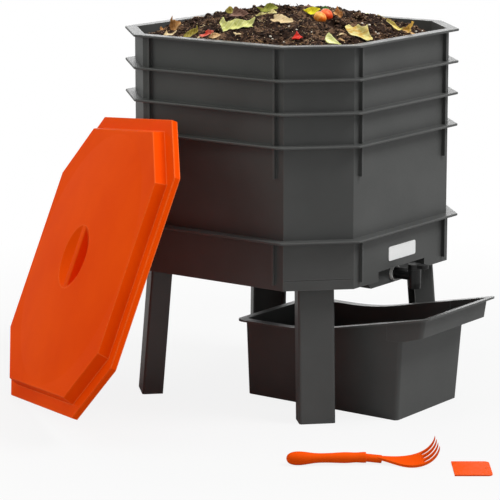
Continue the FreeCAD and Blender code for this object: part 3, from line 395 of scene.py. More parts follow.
@dataclass(frozen=True)
class LeafBlade(Finish):
    """A leaf or peel: a matt blade with a midrib, side veins and darker blotches, partly where it dries
    and partly painted shade of folds.
    """

    name: str
    colour: str
    # darker colour of the dry patches and of the painted shade of folds
    blotch_and_fold_shade_colour: str
    vein_colour: str
    vein_mm: float = 5.0
    blotch_and_fold_shade_mm: float = 7.0
    rib_half_mm: float = 0.5
    rib_fade: float = 1.6       # the midrib has faded at this many times its half width
    relief_mm: float = 0.4
    roughness: float = 0.55

    def surface(self, tree: Tree, place: Socket) -> Socket:
        """Draw the blade, whose midrib runs along X.

        Args:
            tree: The material's nodes.
            place: A point's place in its piece's own frame.

        Returns:
            The shader.
        """
        # The blotches are partly dry patches and partly painted shade of folds
        blade = patchwork(tree, {
            "Vector": place, "Scale": per_metre(self.blotch_and_fold_shade_mm), "Detail": 4.0, "Roughness": 0.6},
            (0.46, 0.68), (self.colour, self.blotch_and_fold_shade_colour))
        lines = self.vein_mask(tree, place)
        colour = add_node(tree, "ShaderNodeMix", {
            MIX_FACTOR: lines, MIX_FIRST: blade, MIX_SECOND: linear(self.vein_colour)},
            data_type="RGBA")
        relief = add_node(tree, "ShaderNodeBump", {
            "Height": lines, "Strength": 0.6, "Distance": self.relief_mm * MM})
        shader = add_node(tree, "ShaderNodeBsdfPrincipled", {
            "Base Color": colour.outputs[MIX_RESULT], "Roughness": self.roughness,
            "Normal": relief.outputs["Normal"], "Specular IOR Level": 0.2})
        return shader.outputs["BSDF"]

    def vein_mask(self, tree: Tree, place: Socket) -> Socket:
        """Find the midrib and the side veins that slant from it.

        Args:
            tree: The material's nodes.
            place: A point's place in its piece's own frame.

        Returns:
            A factor that rises on a vein.
        """
        axes = add_node(tree, "ShaderNodeSeparateXYZ", {"Vector": place})
        aside = add_node(tree, "ShaderNodeMath", {0: axes.outputs["Y"]}, operation="ABSOLUTE")
        swept = add_node(tree, "ShaderNodeMath", {
            0: axes.outputs["X"], 1: aside.outputs["Value"]}, operation="SUBTRACT")
        rows = add_node(tree, "ShaderNodeMath", {
            0: swept.outputs["Value"], 1: 2 * math.pi * per_metre(self.vein_mm)}, operation="MULTIPLY")
        wave = add_node(tree, "ShaderNodeMath", {0: rows.outputs["Value"]}, operation="COSINE")
        veins = add_node(tree, "ShaderNodeMapRange", {
            "Value": wave.outputs["Value"], "From Min": 0.72, "From Max": 1.0,
            "To Min": 0.0, "To Max": 0.45})
        midrib = add_node(tree, "ShaderNodeMapRange", {
            "Value": aside.outputs["Value"], "From Min": self.rib_fade * self.rib_half_mm * MM,
            "From Max": self.rib_half_mm * MM, "To Min": 0.0, "To Max": 0.8})
        lines = add_node(tree, "ShaderNodeMath", {
            0: veins.outputs["Result"], 1: midrib.outputs["Result"]}, operation="MAXIMUM")
        return lines.outputs["Value"]


# Moulded plastics: the tower, its legs and bin, the lid, the hand tools, the tap, the label plate
# The third colour of each plastic is a painted highlight along its edges
CHARCOAL = MouldedPlastic("charcoal_polypropylene", "#4A4B4A", "#444544", "#6E6E6D", 0.44, specular=0.36)
ORANGE = MouldedPlastic("orange_polypropylene", "#F85203", "#F04901", "#FF9A54", 0.48,
                        drift_mm=160.0, edge_mm=3.0, specular=0.012)
TOOL_ORANGE = MouldedPlastic("tool_polypropylene", "#F0540C", "#E84E08", "#FF8238", 0.45,
                             edge_mm=0.9, specular=0.02)
TAP_BLACK = MouldedPlastic("black_polypropylene", "#161616", "#101010", "#3A3A3A", 0.35, edge_mm=0.8)
PLATE_WHITE = MouldedPlastic("white_polystyrene", "#F6F7F6", "#F0F1F0", "#FAFAFA", 0.3, edge_mm=0.6)

# Moulded silicone rubber, a dull pale ring with a little dust, and chalky bits of broken eggshell
WASHER = PatchySkin("silicone_rubber", "#F6F6F4", "#E4E3DE")
EGGSHELL = PatchySkin("eggshell", "#F4EEE2", "#D8CCB8")

COMPOST = Soil()

# Leaves and peel, from fresh to dry: each has its blade, its blotches (partly dry patches, partly painted
# fold shade) and its veins
DRY_TAN = LeafBlade("dry_tan_leaf", "#CCA470", "#8A6034", "#E4CCA0")
PALE_TAN = LeafBlade("pale_dry_leaf", "#E2CB9C", "#B08C5C", "#F0E2C4")
RUST = LeafBlade("rust_dry_leaf", "#C0864A", "#7C4A22", "#DAB27C")
BROWN = LeafBlade("brown_dry_leaf", "#826052", "#50342A", "#A88C7A")
OLIVE = LeafBlade("olive_leaf", "#94822E", "#5A581C", "#C6BA74")
FADED_OLIVE = LeafBlade("faded_olive_leaf", "#CCC07C", "#8C8040", "#E4DCAA")
GREEN = LeafBlade("pale_green_leaf", "#D8D888", "#9AA24C", "#EEEEC0", blotch_and_fold_shade_mm=9.0, vein_mm=8.0)
LIME = LeafBlade("lime_leaf", "#94963A", "#585E22", "#C0C07A")
YELLOW_GREEN = LeafBlade("yellow_green_leaf", "#EADF1C", "#B0A81E", "#F2EE84")
YELLOW = LeafBlade("yellow_leaf", "#DCD084", "#C48E24", "#EFE8B8", blotch_and_fold_shade_mm=13.0, vein_mm=8.0)
GOLD = LeafBlade("gold_leaf", "#BE9236", "#6E4A1C", "#DEC078")
PALE_GOLD = LeafBlade("pale_gold_leaf", "#DECA6A", "#A88430", "#F0E4A8")
RIND = LeafBlade("pale_rind", "#F0F2A6", "#D6D684", "#F8F8D8", vein_mm=9.0)
CALYX = LeafBlade("tomato_calyx", "#4F8038", "#2E5224", "#70984E")

TOMATO_FLESH = FruitSkin("tomato_flesh", "#E0301A", "#C42214")
PEPPER_FLESH = FruitSkin("pepper_flesh", "#E07A64", "#C8402C")
TOMATO_ORANGE = FruitSkin("tomato_skin_orange", "#FFB85C", "#FC7A1E")
TOMATO_RED = FruitSkin("tomato_skin_red", "#FA7A44", "#EC4218")


@dataclass(frozen=True)
class Lamp:
    """A soft square lamp, which the camera itself doesn't see."""

    name: str
    place_m: Triple
    side_m: float
    watts: float
    colour: str = WHITE

    def build(self, aim: Vector) -> None:
        """Add the lamp.

        Args:
            aim: The point that it faces, in metres.
        """
        data = bpy.data.lights.new(self.name, "AREA")
        data.shape = "SQUARE"
        data.size = self.side_m
        data.energy = self.watts
        data.color = linear(self.colour)[:3]
        lamp = bpy.data.objects.new(self.name, data)
        lamp.location = self.place_m
        lamp.rotation_euler = (aim - Vector(self.place_m)).to_track_quat("-Z", "Y").to_euler()
        lamp.visible_camera = False
        bpy.context.scene.collection.objects.link(lamp)


@dataclass
class Studio:
    """The pale room round the object, with the photograph's camera in it."""

    eye_mm: Triple = (-3012.4, -2113.0, 959.4)
    heading: float = 54.0       # degrees from +Y towards +X that the camera looks
    pitch: float = 11.54        # degrees that it looks down
    pixels_focal: float = 2494.0
    frame_pixels: float = 500.0
    sensor_mm: float = 36.0
    sight_m: float = 60.0
    floor_half_m: float = 30.0
    floor_paint: str = "#BEBEBE"
    shadow_near_m: float = 0.5  # radius inside which the floor shows its full shadow
    shadow_far_m: float = 1.2
    shadow_share: float = 0.13
    ambient: float = 0.36       # strength of the even light on the object
    aim_m: Triple = (-0.05, -0.05, 0.3)
    lamps: tuple[Lamp, ...] = (
        Lamp("key", (1.05, -2.75, 3.8), 1.8, 165.0),
        Lamp("overhead", (-0.3, 0.2, 4.2), 2.6, 40.0),
        Lamp("left_fill", (-2.4, 2.6, 2.6), 2.4, 50.0, "#F2F6EC"),
        Lamp("rim_light", (3.3, 2.4, 1.15), 1.6, 24.0),
    )

    def directions(self) -> tuple[Vector, Vector, Vector]:
        """Work out how the camera is turned.

        Returns:
            Its right, up and forward directions.
        """
        turn = math.radians(self.heading)
        dip = math.radians(self.pitch)
        forward = Vector((math.cos(dip) * math.sin(turn), math.cos(dip) * math.cos(turn), -math.sin(dip)))
        right = Vector((math.cos(turn), -math.sin(turn), 0))
        return right, right.cross(forward), forward

    def eye(self) -> Vector:
        """Return the camera's place in metres."""
        return Vector(self.eye_mm) * MM

    def ray(self, pixel: Point) -> Vector:
        """Return the direction in which a point of the photograph's frame is seen.

        Args:
            pixel: Across and down from the frame's top left corner.

        Returns:
            A unit vector from the camera.
        """
        right, up, forward = self.directions()
        middle = self.frame_pixels / 2
        across = (pixel[0] - middle) / self.pixels_focal
        down = (pixel[1] - middle) / self.pixels_focal
        return (forward + right * across - up * down).normalized()

    def build(self) -> None:
        """Add the camera, floor, world and lamps."""
        self.add_camera()
        self.add_floor()
        self.add_world()
        for lamp in self.lamps:
            lamp.build(Vector(self.aim_m))
        bpy.context.scene.view_settings.view_transform = "Standard"

    def add_camera(self) -> None:
        """Add the photograph's camera."""
        right, up, forward = self.directions()
        camera = bpy.data.cameras.new("camera")
        camera.sensor_width = self.sensor_mm
        camera.lens = self.pixels_focal / self.frame_pixels * self.sensor_mm
        camera.clip_end = self.sight_m
        stand = bpy.data.objects.new("camera", camera)
        turned = Matrix((right, up, -forward)).transposed().to_4x4()
        stand.matrix_world = Matrix.Translation(self.eye()) @ turned
        bpy.context.scene.collection.objects.link(stand)
        bpy.context.scene.camera = stand

    def add_floor(self) -> None:
        """Add a pale floor that the camera sees as white, with a soft shadow near the object."""
        material, tree = empty_material("studio_floor")
        half = self.floor_half_m
        corners = [(-half, -half, 0), (half, -half, 0), (half, half, 0), (-half, half, 0)]
        mesh = bpy.data.meshes.new("floor")
        mesh.from_pydata(corners, [], [(0, 1, 2, 3)])
        floor = bpy.data.objects.new("floor", mesh)
        bpy.context.scene.collection.objects.link(floor)
        paint = add_node(tree, "ShaderNodeBsdfDiffuse", {"Color": linear(self.floor_paint)})
        glow = add_node(tree, "ShaderNodeEmission", {"Color": linear(WHITE), "Strength": 1.0})
        place = add_node(tree, "ShaderNodeTexCoord")
        away = add_node(tree, "ShaderNodeVectorMath", {0: place.outputs["Object"]}, operation="LENGTH")
        white_share = add_node(tree, "ShaderNodeMapRange", {
            "Value": away.outputs["Value"], "From Min": self.shadow_near_m,
            "From Max": self.shadow_far_m, "To Min": 1 - self.shadow_share, "To Max": 1.0})
        path = add_node(tree, "ShaderNodeLightPath")
        share = add_node(tree, "ShaderNodeMath", {
            0: path.outputs["Is Camera Ray"], 1: white_share.outputs["Result"]}, operation="MULTIPLY")
        blend = add_node(tree, "ShaderNodeMixShader", {
            0: share.outputs["Value"], 1: paint.outputs["BSDF"], 2: glow.outputs["Emission"]})
        close_material(tree, blend.outputs["Shader"])
        mesh.materials.append(material)

    def add_world(self) -> None:
        """Add a world that is white to the camera and in gloss, and a dim even light elsewhere."""
        world = bpy.data.worlds.new("studio")
        world.use_nodes = True
        tree = world.node_tree
        tree.nodes.clear()
        path = add_node(tree, "ShaderNodeLightPath")
        seen = add_node(tree, "ShaderNodeMath", {
            0: path.outputs["Is Camera Ray"], 1: path.outputs["Is Glossy Ray"]}, operation="MAXIMUM")
        dim = add_node(tree, "ShaderNodeBackground", {"Color": linear(WHITE), "Strength": self.ambient})
        white = add_node(tree, "ShaderNodeBackground", {"Color": linear(WHITE), "Strength": 1.0})
        blend = add_node(tree, "ShaderNodeMixShader", {
            0: seen.outputs["Value"], 1: dim.outputs["Background"], 2: white.outputs["Background"]})
        add_node(tree, "ShaderNodeOutputWorld", {"Surface": blend.outputs["Shader"]})
        bpy.context.scene.world = world


@dataclass(frozen=True)
class CarriedPieces:
    """Pieces of the wormery that keep their solid's shape and share one finish."""

    names: tuple[str, ...]
    finish: Finish
    material_slot: str          # the name of the record's material slot

    def dress(self, nodes: dict[str, bpy.types.Object]) -> None:
        """Put the finish on each piece.

        Args:
            nodes: The frame's pieces by name.
        """
        material = made(self.finish)
        for name in self.names:
            piece = nodes[name]
            piece.data.materials.clear()
            piece.data.materials.append(material)
            log.info("%s has %s", name, material.name)


WORMERY = (
    CarriedPieces((
        "base_tray", "tray_4", "tray_3", "tray_2", "tray_1", "leg_front_left", "leg_front_right",
        "leg_rear_right", "leg_rear_left", "catch_bin"), CHARCOAL, "charcoal_plastic"),
    CarriedPieces(("lid",), ORANGE, "orange_plastic"),
    CarriedPieces(("hand_fork", "scraper"), TOOL_ORANGE, "tool_plastic"),
    CarriedPieces(("tap_body", "tap_lever", "tap_nut"), TAP_BLACK, "tap_plastic"),
    CarriedPieces(("tap_washer_outer", "tap_washer_inner"), WASHER, "washer_rubber"),
    CarriedPieces(("label_plate",), PLATE_WHITE, "label_white"),
)


def mesh_from(shell: bmesh.types.BMesh, name: str) -> Mesh:
    """Turn a finished shell into a mesh.

    Args:
        shell: The shell, which is freed.
        name: The mesh's name.

    Returns:
        The mesh.
    """
    mesh = bpy.data.meshes.new(name)
    shell.to_mesh(mesh)
    shell.free()
    return mesh


def add_to_heap(mesh: Mesh, finish: Finish, place: Matrix | None = None) -> bpy.types.Object:
    """Link a mesh as a new piece that rides on the top tray with the compost.

    Args:
        mesh: Its shape, with the piece's name.
        finish: What it is made of.
        place: Where its own frame is.

    Returns:
        The new piece.
    """
    piece = bpy.data.objects.new(mesh.name, mesh)
    if place is not None:
        piece.matrix_world = place
    bpy.context.scene.collection.objects.link(piece)
    mesh.materials.append(made(finish))
    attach(piece, "tray_1")
    log.info("%s rides on tray_1", piece.name)
    return piece


@dataclass
class Heap:
    """The compost in the top tray: a low dome of crumbs that reaches the tray's walls."""

    studio: Studio
    half: float = 192.2         # just inside the tray's long walls
    cut: float = 69.0           # what each slanted corner takes off a side
    floor_half: float = 189.0
    floor: float = 457.4
    peak: float = 571.0
    edge_drop: float = 34.0     # fall of the dome from its peak to the middle of a wall
    lump_mm: float = 30.0
    lump_height: float = 4.5
    lump_falloff: float = 0.6   # how much weaker each of the octaves is
    lump_octaves: int = 3
    clod_mm: float = 13.0
    clod_height: float = 4.8
    crumb_mm: float = 5.2
    crumb_height: float = 3.2
    clod_layer: float = 3.0     # heights at which the patterns of grains are cut
    crumb_layer: float = 9.0
    level: float = 0.3          # share of a grain's height that its middle stands over the bed
    nearest: float = 3300.0     # from the camera, where the search for the surface starts
    farthest: float = 4200.0
    stride: float = 0.5
    miss: float = 14.0          # most that a ray may pass over the surface and still land on it
    steps: int = 236
    cell: float = 3.0           # size of the squares in which the places of leaves are kept
    taken: set[tuple[int, int]] = field(default_factory=set)

    def reach(self, angle: float, half: float) -> float:
        """Return the distance from the middle to the octagon's edge in a direction.

        Args:
            angle: The direction in radians.
            half: Half the octagon's width.

        Returns:
            Millimetres to the edge.
        """
        along = max(abs(math.cos(angle)), abs(math.sin(angle)))
        diagonal = abs(math.cos(angle)) + abs(math.sin(angle))
        return min(half / along, (2 * half - self.cut) / diagonal)

    def inside(self, x: float, y: float, margin: float = 0.0) -> bool:
        """Return whether a plan point is on the heap, a margin away from the walls."""
        return math.hypot(x, y) < self.reach(math.atan2(y, x), self.half) - margin

    def square(self, x: float, y: float) -> tuple[int, int]:
        """Return the square of the plan that a point is in."""
        return math.floor(x / self.cell), math.floor(y / self.cell)

    def free(self, x: float, y: float, margin: float) -> bool:
        """Return whether loose soil may lie at a plan point, clear of walls and leaves."""
        return self.inside(x, y, margin) and self.square(x, y) not in self.taken

    def bed(self, x: float, y: float) -> float:
        """Work out the height of the dome with its broad lumps.

        Args:
            x: Plan place along X.
            y: Plan place along Y.

        Returns:
            The height over the floor.
        """
        dome = self.peak - self.edge_drop * (math.hypot(x, y) / self.half) ** 2
        spot = Vector((x, y, self.clod_layer)) / self.lump_mm
        return dome + self.lump_height * noise.fractal(spot, self.lump_falloff, 2.0, self.lump_octaves)

    def grains(self, x: float, y: float, layer: float, size: float) -> float:
        """Return the rise of one size of grains over a plan point, as a share of their height."""
        return self.level - noise.voronoi(Vector((x, y, layer)) / size)[0][0] ** 2

    def height(self, x: float, y: float) -> float:
        """Return the height of the crumbly surface over a plan point."""
        clods = self.bed(x, y) + self.clod_height * self.grains(x, y, self.clod_layer, self.clod_mm)
        return clods + self.crumb_height * self.grains(x, y, self.crumb_layer, self.crumb_mm)

    def landing(self, pixel: Point) -> Vector:
        """Find the point of the heap that a pixel shows, or the nearest one under its ray.

        Args:
            pixel: Across and down in the photograph's frame.

        Returns:
            The point in millimetres.
        """
        start = self.studio.eye() / MM
        ray = self.studio.ray(pixel)
        travel = self.nearest
        closest = self.miss
        landed = None
        while travel < self.farthest:
            point = start + ray * travel
            if self.inside(point.x, point.y):
                gap = point.z - self.bed(point.x, point.y)
                if gap < closest:
                    closest = gap
                    landed = Vector((point.x, point.y, point.z - gap))
                if gap < 0:
                    return landed
            travel += self.stride
        if landed is None:
            raise ValueError(f"pixel {pixel} does not meet the heap")
        return landed

    def grid_point(self, row: int, column: int) -> Vector:
        """Place a point of a square grid that is stretched onto the octagon.

        Args:
            row: Its number along X.
            column: Its number along Y.

        Returns:
            The point on the surface, in metres.
        """
        across = 2 * row / self.steps - 1
        deep = 2 * column / self.steps - 1
        angle = math.atan2(deep, across)
        distance = max(abs(across), abs(deep)) * self.reach(angle, self.half)
        x = distance * math.cos(angle)
        y = distance * math.sin(angle)
        return Vector((x, y, self.height(x, y))) * MM

    def foot_point(self, top: Vector) -> Vector:
        """Find the point of the tray's floor under a point of the surface's edge.

        Args:
            top: The point of the edge.

        Returns:
            The point on the floor, in metres.
        """
        angle = math.atan2(top.y, top.x)
        out = self.reach(angle, self.floor_half)
        return Vector((out * math.cos(angle), out * math.sin(angle), self.floor)) * MM

    def surface(self) -> Mesh:
        """Build the closed solid of compost with its crumbly top.

        Returns:
            The mesh.
        """
        last = self.steps
        shell = bmesh.new()
        grid = [[shell.verts.new(self.grid_point(row, column)) for column in range(last + 1)]
                for row in range(last + 1)]
        for row in range(last):
            for column in range(last):
                shell.faces.new((grid[row][column], grid[row + 1][column],
                                 grid[row + 1][column + 1], grid[row][column + 1]))
        edge = [grid[row][0] for row in range(last)]
        edge += [grid[last][column] for column in range(last)]
        edge += [grid[row][last] for row in range(last, 0, -1)]
        edge += [grid[0][column] for column in range(last, 0, -1)]
        foot = [shell.verts.new(self.foot_point(vertex.co)) for vertex in edge]
        for place, vertex in enumerate(edge):
            after = (place + 1) % len(edge)
            shell.faces.new((vertex, foot[place], foot[after], edge[after]))
        shell.faces.new(list(reversed(foot)))
        bmesh.ops.recalc_face_normals(shell, faces=shell.faces[:])
        mesh = mesh_from(shell, "compost_surface")
        mesh.shade_smooth()
        return mesh

    def build(self) -> None:
        """Add the compost in place of the plain solid."""
        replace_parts(add_to_heap(self.surface(), COMPOST), "compost_heap")


@dataclass(frozen=True)
class RoughLump:
    """The shape of a lump of soil: a ball, stretched at random and covered with knobs."""

    wide: Point = (0.75, 1.3)   # least and most that it is stretched sideways
    tall: Point = (0.6, 0.95)   # and upwards
    knob: Point = (0.4, 1.4)    # depth of its knobs in radii, and how often they come
    pimple: Point = (0.2, 3.7)  # the same of the smaller bumps on them

    def add(self, shell: bmesh.types.BMesh, place: Vector, radius: float, detail: int,
            chance: random.Random) -> None:
        """Add one lump to a shell.

        Args:
            shell: The shell that it joins.
            place: Its middle.
            radius: Its mean radius.
            detail: How finely it is divided.
            chance: Where its random stretch comes from.
        """
        ball = bmesh.ops.create_icosphere(shell, subdivisions=detail, radius=1.0)
        stretch = Vector([chance.uniform(*span) for span in (self.wide, self.wide, self.tall)])
        for vertex in ball["verts"]:
            rough = 1.0
            for depth, pace in (self.knob, self.pimple):
                rough += depth * noise.noise(vertex.co * pace + place)
            vertex.co = (place + vertex.co * stretch * (radius * rough)) * MM


@dataclass
class LooseSoil:
    """Lumps and fibres that lie loose on the heap, clear of its leaves."""

    heap: Heap
    lump: RoughLump = RoughLump()
    lump_proud: float = 0.05    # share of its radius that a lump's middle stands over the surface
    lump_margin: float = 1.5    # radii between a lump's middle and the walls
    small_bias: float = 2.4     # power that makes most lumps small
    shortest: float = 0.3       # least length of a fibre, as a share of the longest
    slope: float = 0.5          # radians that a fibre may lean
    bend: float = 0.12          # share of its length that it may bow
    taper: float = 0.4          # thickness of its tip, as a share of its foot's
    flatness: float = 0.6
    fibre_sides: int = 5
    seed: int = 11

    def lump_mesh(self, name: str, count: int, smallest: float, largest: float, detail: int) -> Mesh:
        """Build lumps that lie half sunk in the surface.

        Args:
            name: The mesh's name.
            count: How many there are.
            smallest: Least radius.
            largest: Greatest radius.
            detail: How finely each is divided.

        Returns:
            All of them as one mesh.
        """
        chance = random.Random(self.seed + count)
        half = self.heap.half
        shell = bmesh.new()
        placed = 0
        while placed < count:
            x = chance.uniform(-half, half)
            y = chance.uniform(-half, half)
            radius = smallest + (largest - smallest) * chance.random() ** self.small_bias
            if self.heap.free(x, y, self.lump_margin * radius):
                middle = Vector((x, y, self.heap.height(x, y) + self.lump_proud * radius))
                self.lump.add(shell, middle, radius, detail, chance)
                placed += 1
        return mesh_from(shell, name)

    def fibre_mesh(self, name: str, count: int, longest: float, thick: float) -> Mesh:
        """Build thin slivers of straw, bark or grit that lie on the surface.

        Args:
            name: The mesh's name.
            count: How many there are.
            longest: Length of the longest one.
            thick: Their thickness.

        Returns:
            All of them as one mesh.
        """
        chance = random.Random(self.seed + count)
        half = self.heap.half
        shell = bmesh.new()
        placed = 0
        while placed < count:
            x = chance.uniform(-half, half)
            y = chance.uniform(-half, half)
            if not self.heap.free(x, y, longest):
                continue
            length = chance.uniform(self.shortest, 1) * longest
            frame = (Matrix.Translation(Vector((x, y, self.heap.height(x, y) + thick)))
                     @ Matrix.Rotation(chance.uniform(0, math.pi), 4, "Z")
                     @ Matrix.Rotation(chance.uniform(-self.slope, self.slope), 4, "Y"))
            rod = bmesh.ops.create_cone(shell, cap_ends=True, segments=self.fibre_sides, radius1=thick,
                                        radius2=self.taper * thick, depth=length)
            bend = chance.uniform(-self.bend, self.bend) * length
            for vertex in rod["verts"]:
                along = vertex.co.z
                aside = vertex.co.x + bend * (2 * along / length) ** 2
                vertex.co = (frame @ Vector((along, aside, self.flatness * vertex.co.y))) * MM
            placed += 1
        return mesh_from(shell, name)

    def build(self) -> None:
        """Add the lumps and fibres."""
        add_to_heap(self.lump_mesh("compost_clods", 240, 2.4, 5.2, detail=3), COMPOST)
        add_to_heap(self.lump_mesh("compost_crumbs", 2200, 0.9, 3.4, detail=1), COMPOST)
        add_to_heap(self.fibre_mesh("straw_fibres", 260, longest=9.0, thick=0.55), DRY_TAN)
        add_to_heap(self.fibre_mesh("bark_fibres", 200, longest=12.0, thick=0.8), BROWN)
        add_to_heap(self.fibre_mesh("eggshell_grit", 240, longest=2.4, thick=0.9), PALE_TAN)


@dataclass(frozen=True)
class Twig:
    """A twig or stalk stuck in the compost, drawn as it faces the camera."""

    name: str
    start: Point                # pixel where it leaves the compost
    end: Point                  # pixel of its tip
    thick: float = 0.9
    finish: Finish = COMPOST
    bow: float = 1.5
    buried: float = 0.15        # share of its length that is under the compost
    taper: float = 0.6
    knots: float = 0.2
    rings: int = 7
    sides: int = 6

    def build(self, heap: Heap) -> None:
        """Add the twig.

        Args:
            heap: What it stands in.
        """
        _, _, forward = heap.studio.directions()
        eye = heap.studio.eye() / MM
        foot = heap.landing(self.start)
        ray = heap.studio.ray(self.end)
        tip = eye + ray * ((foot - eye).dot(forward) / ray.dot(forward))
        along = tip - foot
        aside = along.cross(forward).normalized()
        facing = along.to_track_quat("Z", "Y").to_matrix()
        shell = bmesh.new()
        rings = []
        for step in range(self.rings):
            share = step / (self.rings - 1)
            middle = (foot + along * ((1 + self.buried) * share - self.buried)
                      + aside * (self.bow * math.sin(math.pi * share)))
            radius = self.thick * (1 - self.taper * share) * (1 + self.knots * noise.noise(middle))
            ring = []
            for side in range(self.sides):
                angle = 2 * math.pi * side / self.sides
                out = facing @ Vector((radius * math.cos(angle), radius * math.sin(angle), 0))
                ring.append(shell.verts.new((middle + out) * MM))
            rings.append(ring)
        for lower, upper in zip(rings, rings[1:]):
            for side in range(self.sides):
                after = (side + 1) % self.sides
                shell.faces.new((lower[side], lower[after], upper[after], upper[side]))
        shell.faces.new(rings[0])
        shell.faces.new(rings[-1])
        bmesh.ops.recalc_face_normals(shell, faces=shell.faces[:])
        add_to_heap(mesh_from(shell, self.name), self.finish)


TWIGS = (
    Twig("leaf_stalk", (173.4, 29.0), (171.6, 17.4), 0.8),
    Twig("twig_left", (210.0, 20.0), (210.6, 13.6), 0.6),
    Twig("twig_back", (283.5, 8.5), (279.0, 3.2), 0.9),
    Twig("twig_back_right", (303.5, 9.5), (296.6, 3.6), 1.3),
    Twig("twig_middle", (350.5, 17.0), (346.5, 12.4), 0.7),
    Twig("pale_twig_upper", (262.1, 20.9), (257.1, 18.4), 0.5, PALE_TAN, 1.0),
    Twig("pale_twig_lower", (262.9, 42.2), (256.4, 38.9), 0.6, DRY_TAN, 1.0),
)


@dataclass(frozen=True)
class Scrap:
    """A leaf or a piece of peel, drawn as it faces the camera and laid on the heap.

    Its outline is measured from its foot, to the right and up as the camera sees it.
    """

    name: str
    foot: Point                 # pixel of the photograph's frame where it meets the compost
    outline: tuple[Point, ...]
    finish: Finish
    tilt: float = 34.0          # degrees that its face leans up from level
    cup: float = 0.0            # rise of its ends over its middle
    roll: float = 0.0           # rise of its sides over its midrib
    ripple: float = 2.0
    lift: float = 16.0          # most that any point stands over the compost
    rib: float = 0.0            # degrees that its midrib turns from the camera's right
    thick: float = 0.5
    step: float = 1.7           # spacing of the mesh's points
    clearance: float = 3.1      # it lies this far over the middle of the crumbs
    plan: Point | None = None   # its place on the heap, where the camera can't see it
    turn: float = 0.0           # degrees that it is turned about the vertical there
    corner: float = 0.18        # share of an edge that is rounded off at each end
    tear: float = 0.7           # depth of the ragged edge
    tear_mm: float = 3.0
    wave: Point = (1.5, 11.0)   # height of the broad waves in ripples, and their size
    crinkle: Point = (0.4, 4.0)
    sag: float = 0.25           # share of the waves that shows where it rests on the soil

    def frame(self, heap: Heap) -> Matrix:
        """Place the scrap's own frame, with its midrib along X and its face along Z.

        Args:
            heap: What it lies on.

        Returns:
            The frame in metres.
        """
        right, _, forward = heap.studio.directions()
        level = Vector((forward.x, forward.y, 0)).normalized()
        lean = math.radians(self.tilt)
        up = level * math.cos(lean) + Vector((0, 0, 1)) * math.sin(lean)
        facing = Matrix((right, up, right.cross(up))).transposed().to_4x4()
        if self.plan is None:
            place = heap.landing(self.foot)
        else:
            place = Vector((*self.plan, heap.bed(*self.plan)))
        turned = Matrix.Translation(place * MM) @ Matrix.Rotation(math.radians(self.turn), 4, "Z")
        return turned @ facing @ Matrix.Rotation(math.radians(self.rib), 4, "Z")

    def edge_points(self, studio: Studio) -> list[Vector]:
        """Draw the closed edge in the scrap's own frame, slightly rounded and ragged.

        Args:
            studio: The studio with the camera.

        Returns:
            Points about one step apart.
        """
        seen = math.sin(math.radians(self.tilt + studio.pitch))
        turn = Matrix.Rotation(-math.radians(self.rib), 2)
        corners = [turn @ Vector((x, y / seen)) for x, y in self.outline]
        rounded = []
        for place, corner in enumerate(corners):
            before = corners[place - 1]
            after = corners[(place + 1) % len(corners)]
            rounded += [corner.lerp(before, self.corner), corner.lerp(after, self.corner)]
        points = []
        for place, point in enumerate(rounded):
            after = rounded[(place + 1) % len(rounded)]
            pieces = max(1, round((after - point).length / self.step))
            points += [point.lerp(after, piece / pieces) for piece in range(pieces)]
        for point in points:
            ragged = noise.noise_vector(Vector((point.x, point.y, len(self.name))) / self.tear_mm)
            point += self.tear * ragged.to_2d()
        return points

    def mesh(self, heap: Heap, frame: Matrix) -> Mesh:
        """Build the curled blade so that it lies on the compost.

        Args:
            heap: What it lies on.
            frame: The scrap's own frame.

        Returns:
            The blade with no thickness.
        """
        edge = self.edge_points(heap.studio)
        low = Vector((min(point.x for point in edge), min(point.y for point in edge)))
        high = Vector((max(point.x for point in edge), max(point.y for point in edge)))
        inner = []
        for row in range(int((high.y - low.y) / self.step) + 1):
            shift = self.step * (0.5 + 0.5 * (row % 2))
            for column in range(int((high.x - low.x) / self.step) + 1):
                inner.append(low + Vector((column * self.step + shift, (row + 0.5) * self.step)))
        loop = [(place, (place + 1) % len(edge)) for place in range(len(edge))]
        points, _, faces, *_ = delaunay_2d_cdt(edge + inner, loop, [], INSIDE_ONLY, MERGE_MM)
        wide = max(abs(low.x), abs(high.x))
        middle = (low.y + high.y) / 2
        tall = (high.y - low.y) / 2
        back = frame.inverted()
        places = []
        for x, y in points:
            spot = Vector((x, y, len(self.name)))
            wave = self.ripple * sum(height * noise.noise(spot / size) for height, size in (
                self.wave, self.crinkle))
            rise = self.cup * (x / wide) ** 2 + self.roll * abs((y - middle) / tall) ** 1.3 + wave
            point = frame @ (Vector((x, y, rise)) * MM) / MM
            ground = heap.bed(point.x, point.y)
            over = min(max(point.z - ground, self.clearance + self.sag * wave), self.lift + wave)
            point.z = ground + over
            heap.taken.add(heap.square(point.x, point.y))
            places.append(back @ (point * MM))
        mesh = bpy.data.meshes.new(self.name)
        mesh.from_pydata(places, [], faces)
        mesh.shade_smooth()
        return mesh

    def build(self, heap: Heap) -> None:
        """Add the scrap.

        Args:
            heap: What it lies on.
        """
        frame = self.frame(heap)
        blade = add_to_heap(self.mesh(heap, frame), self.finish, frame)
        skin = blade.modifiers.new("blade", "SOLIDIFY")
        skin.thickness = self.thick * MM
        skin.offset = 0.0


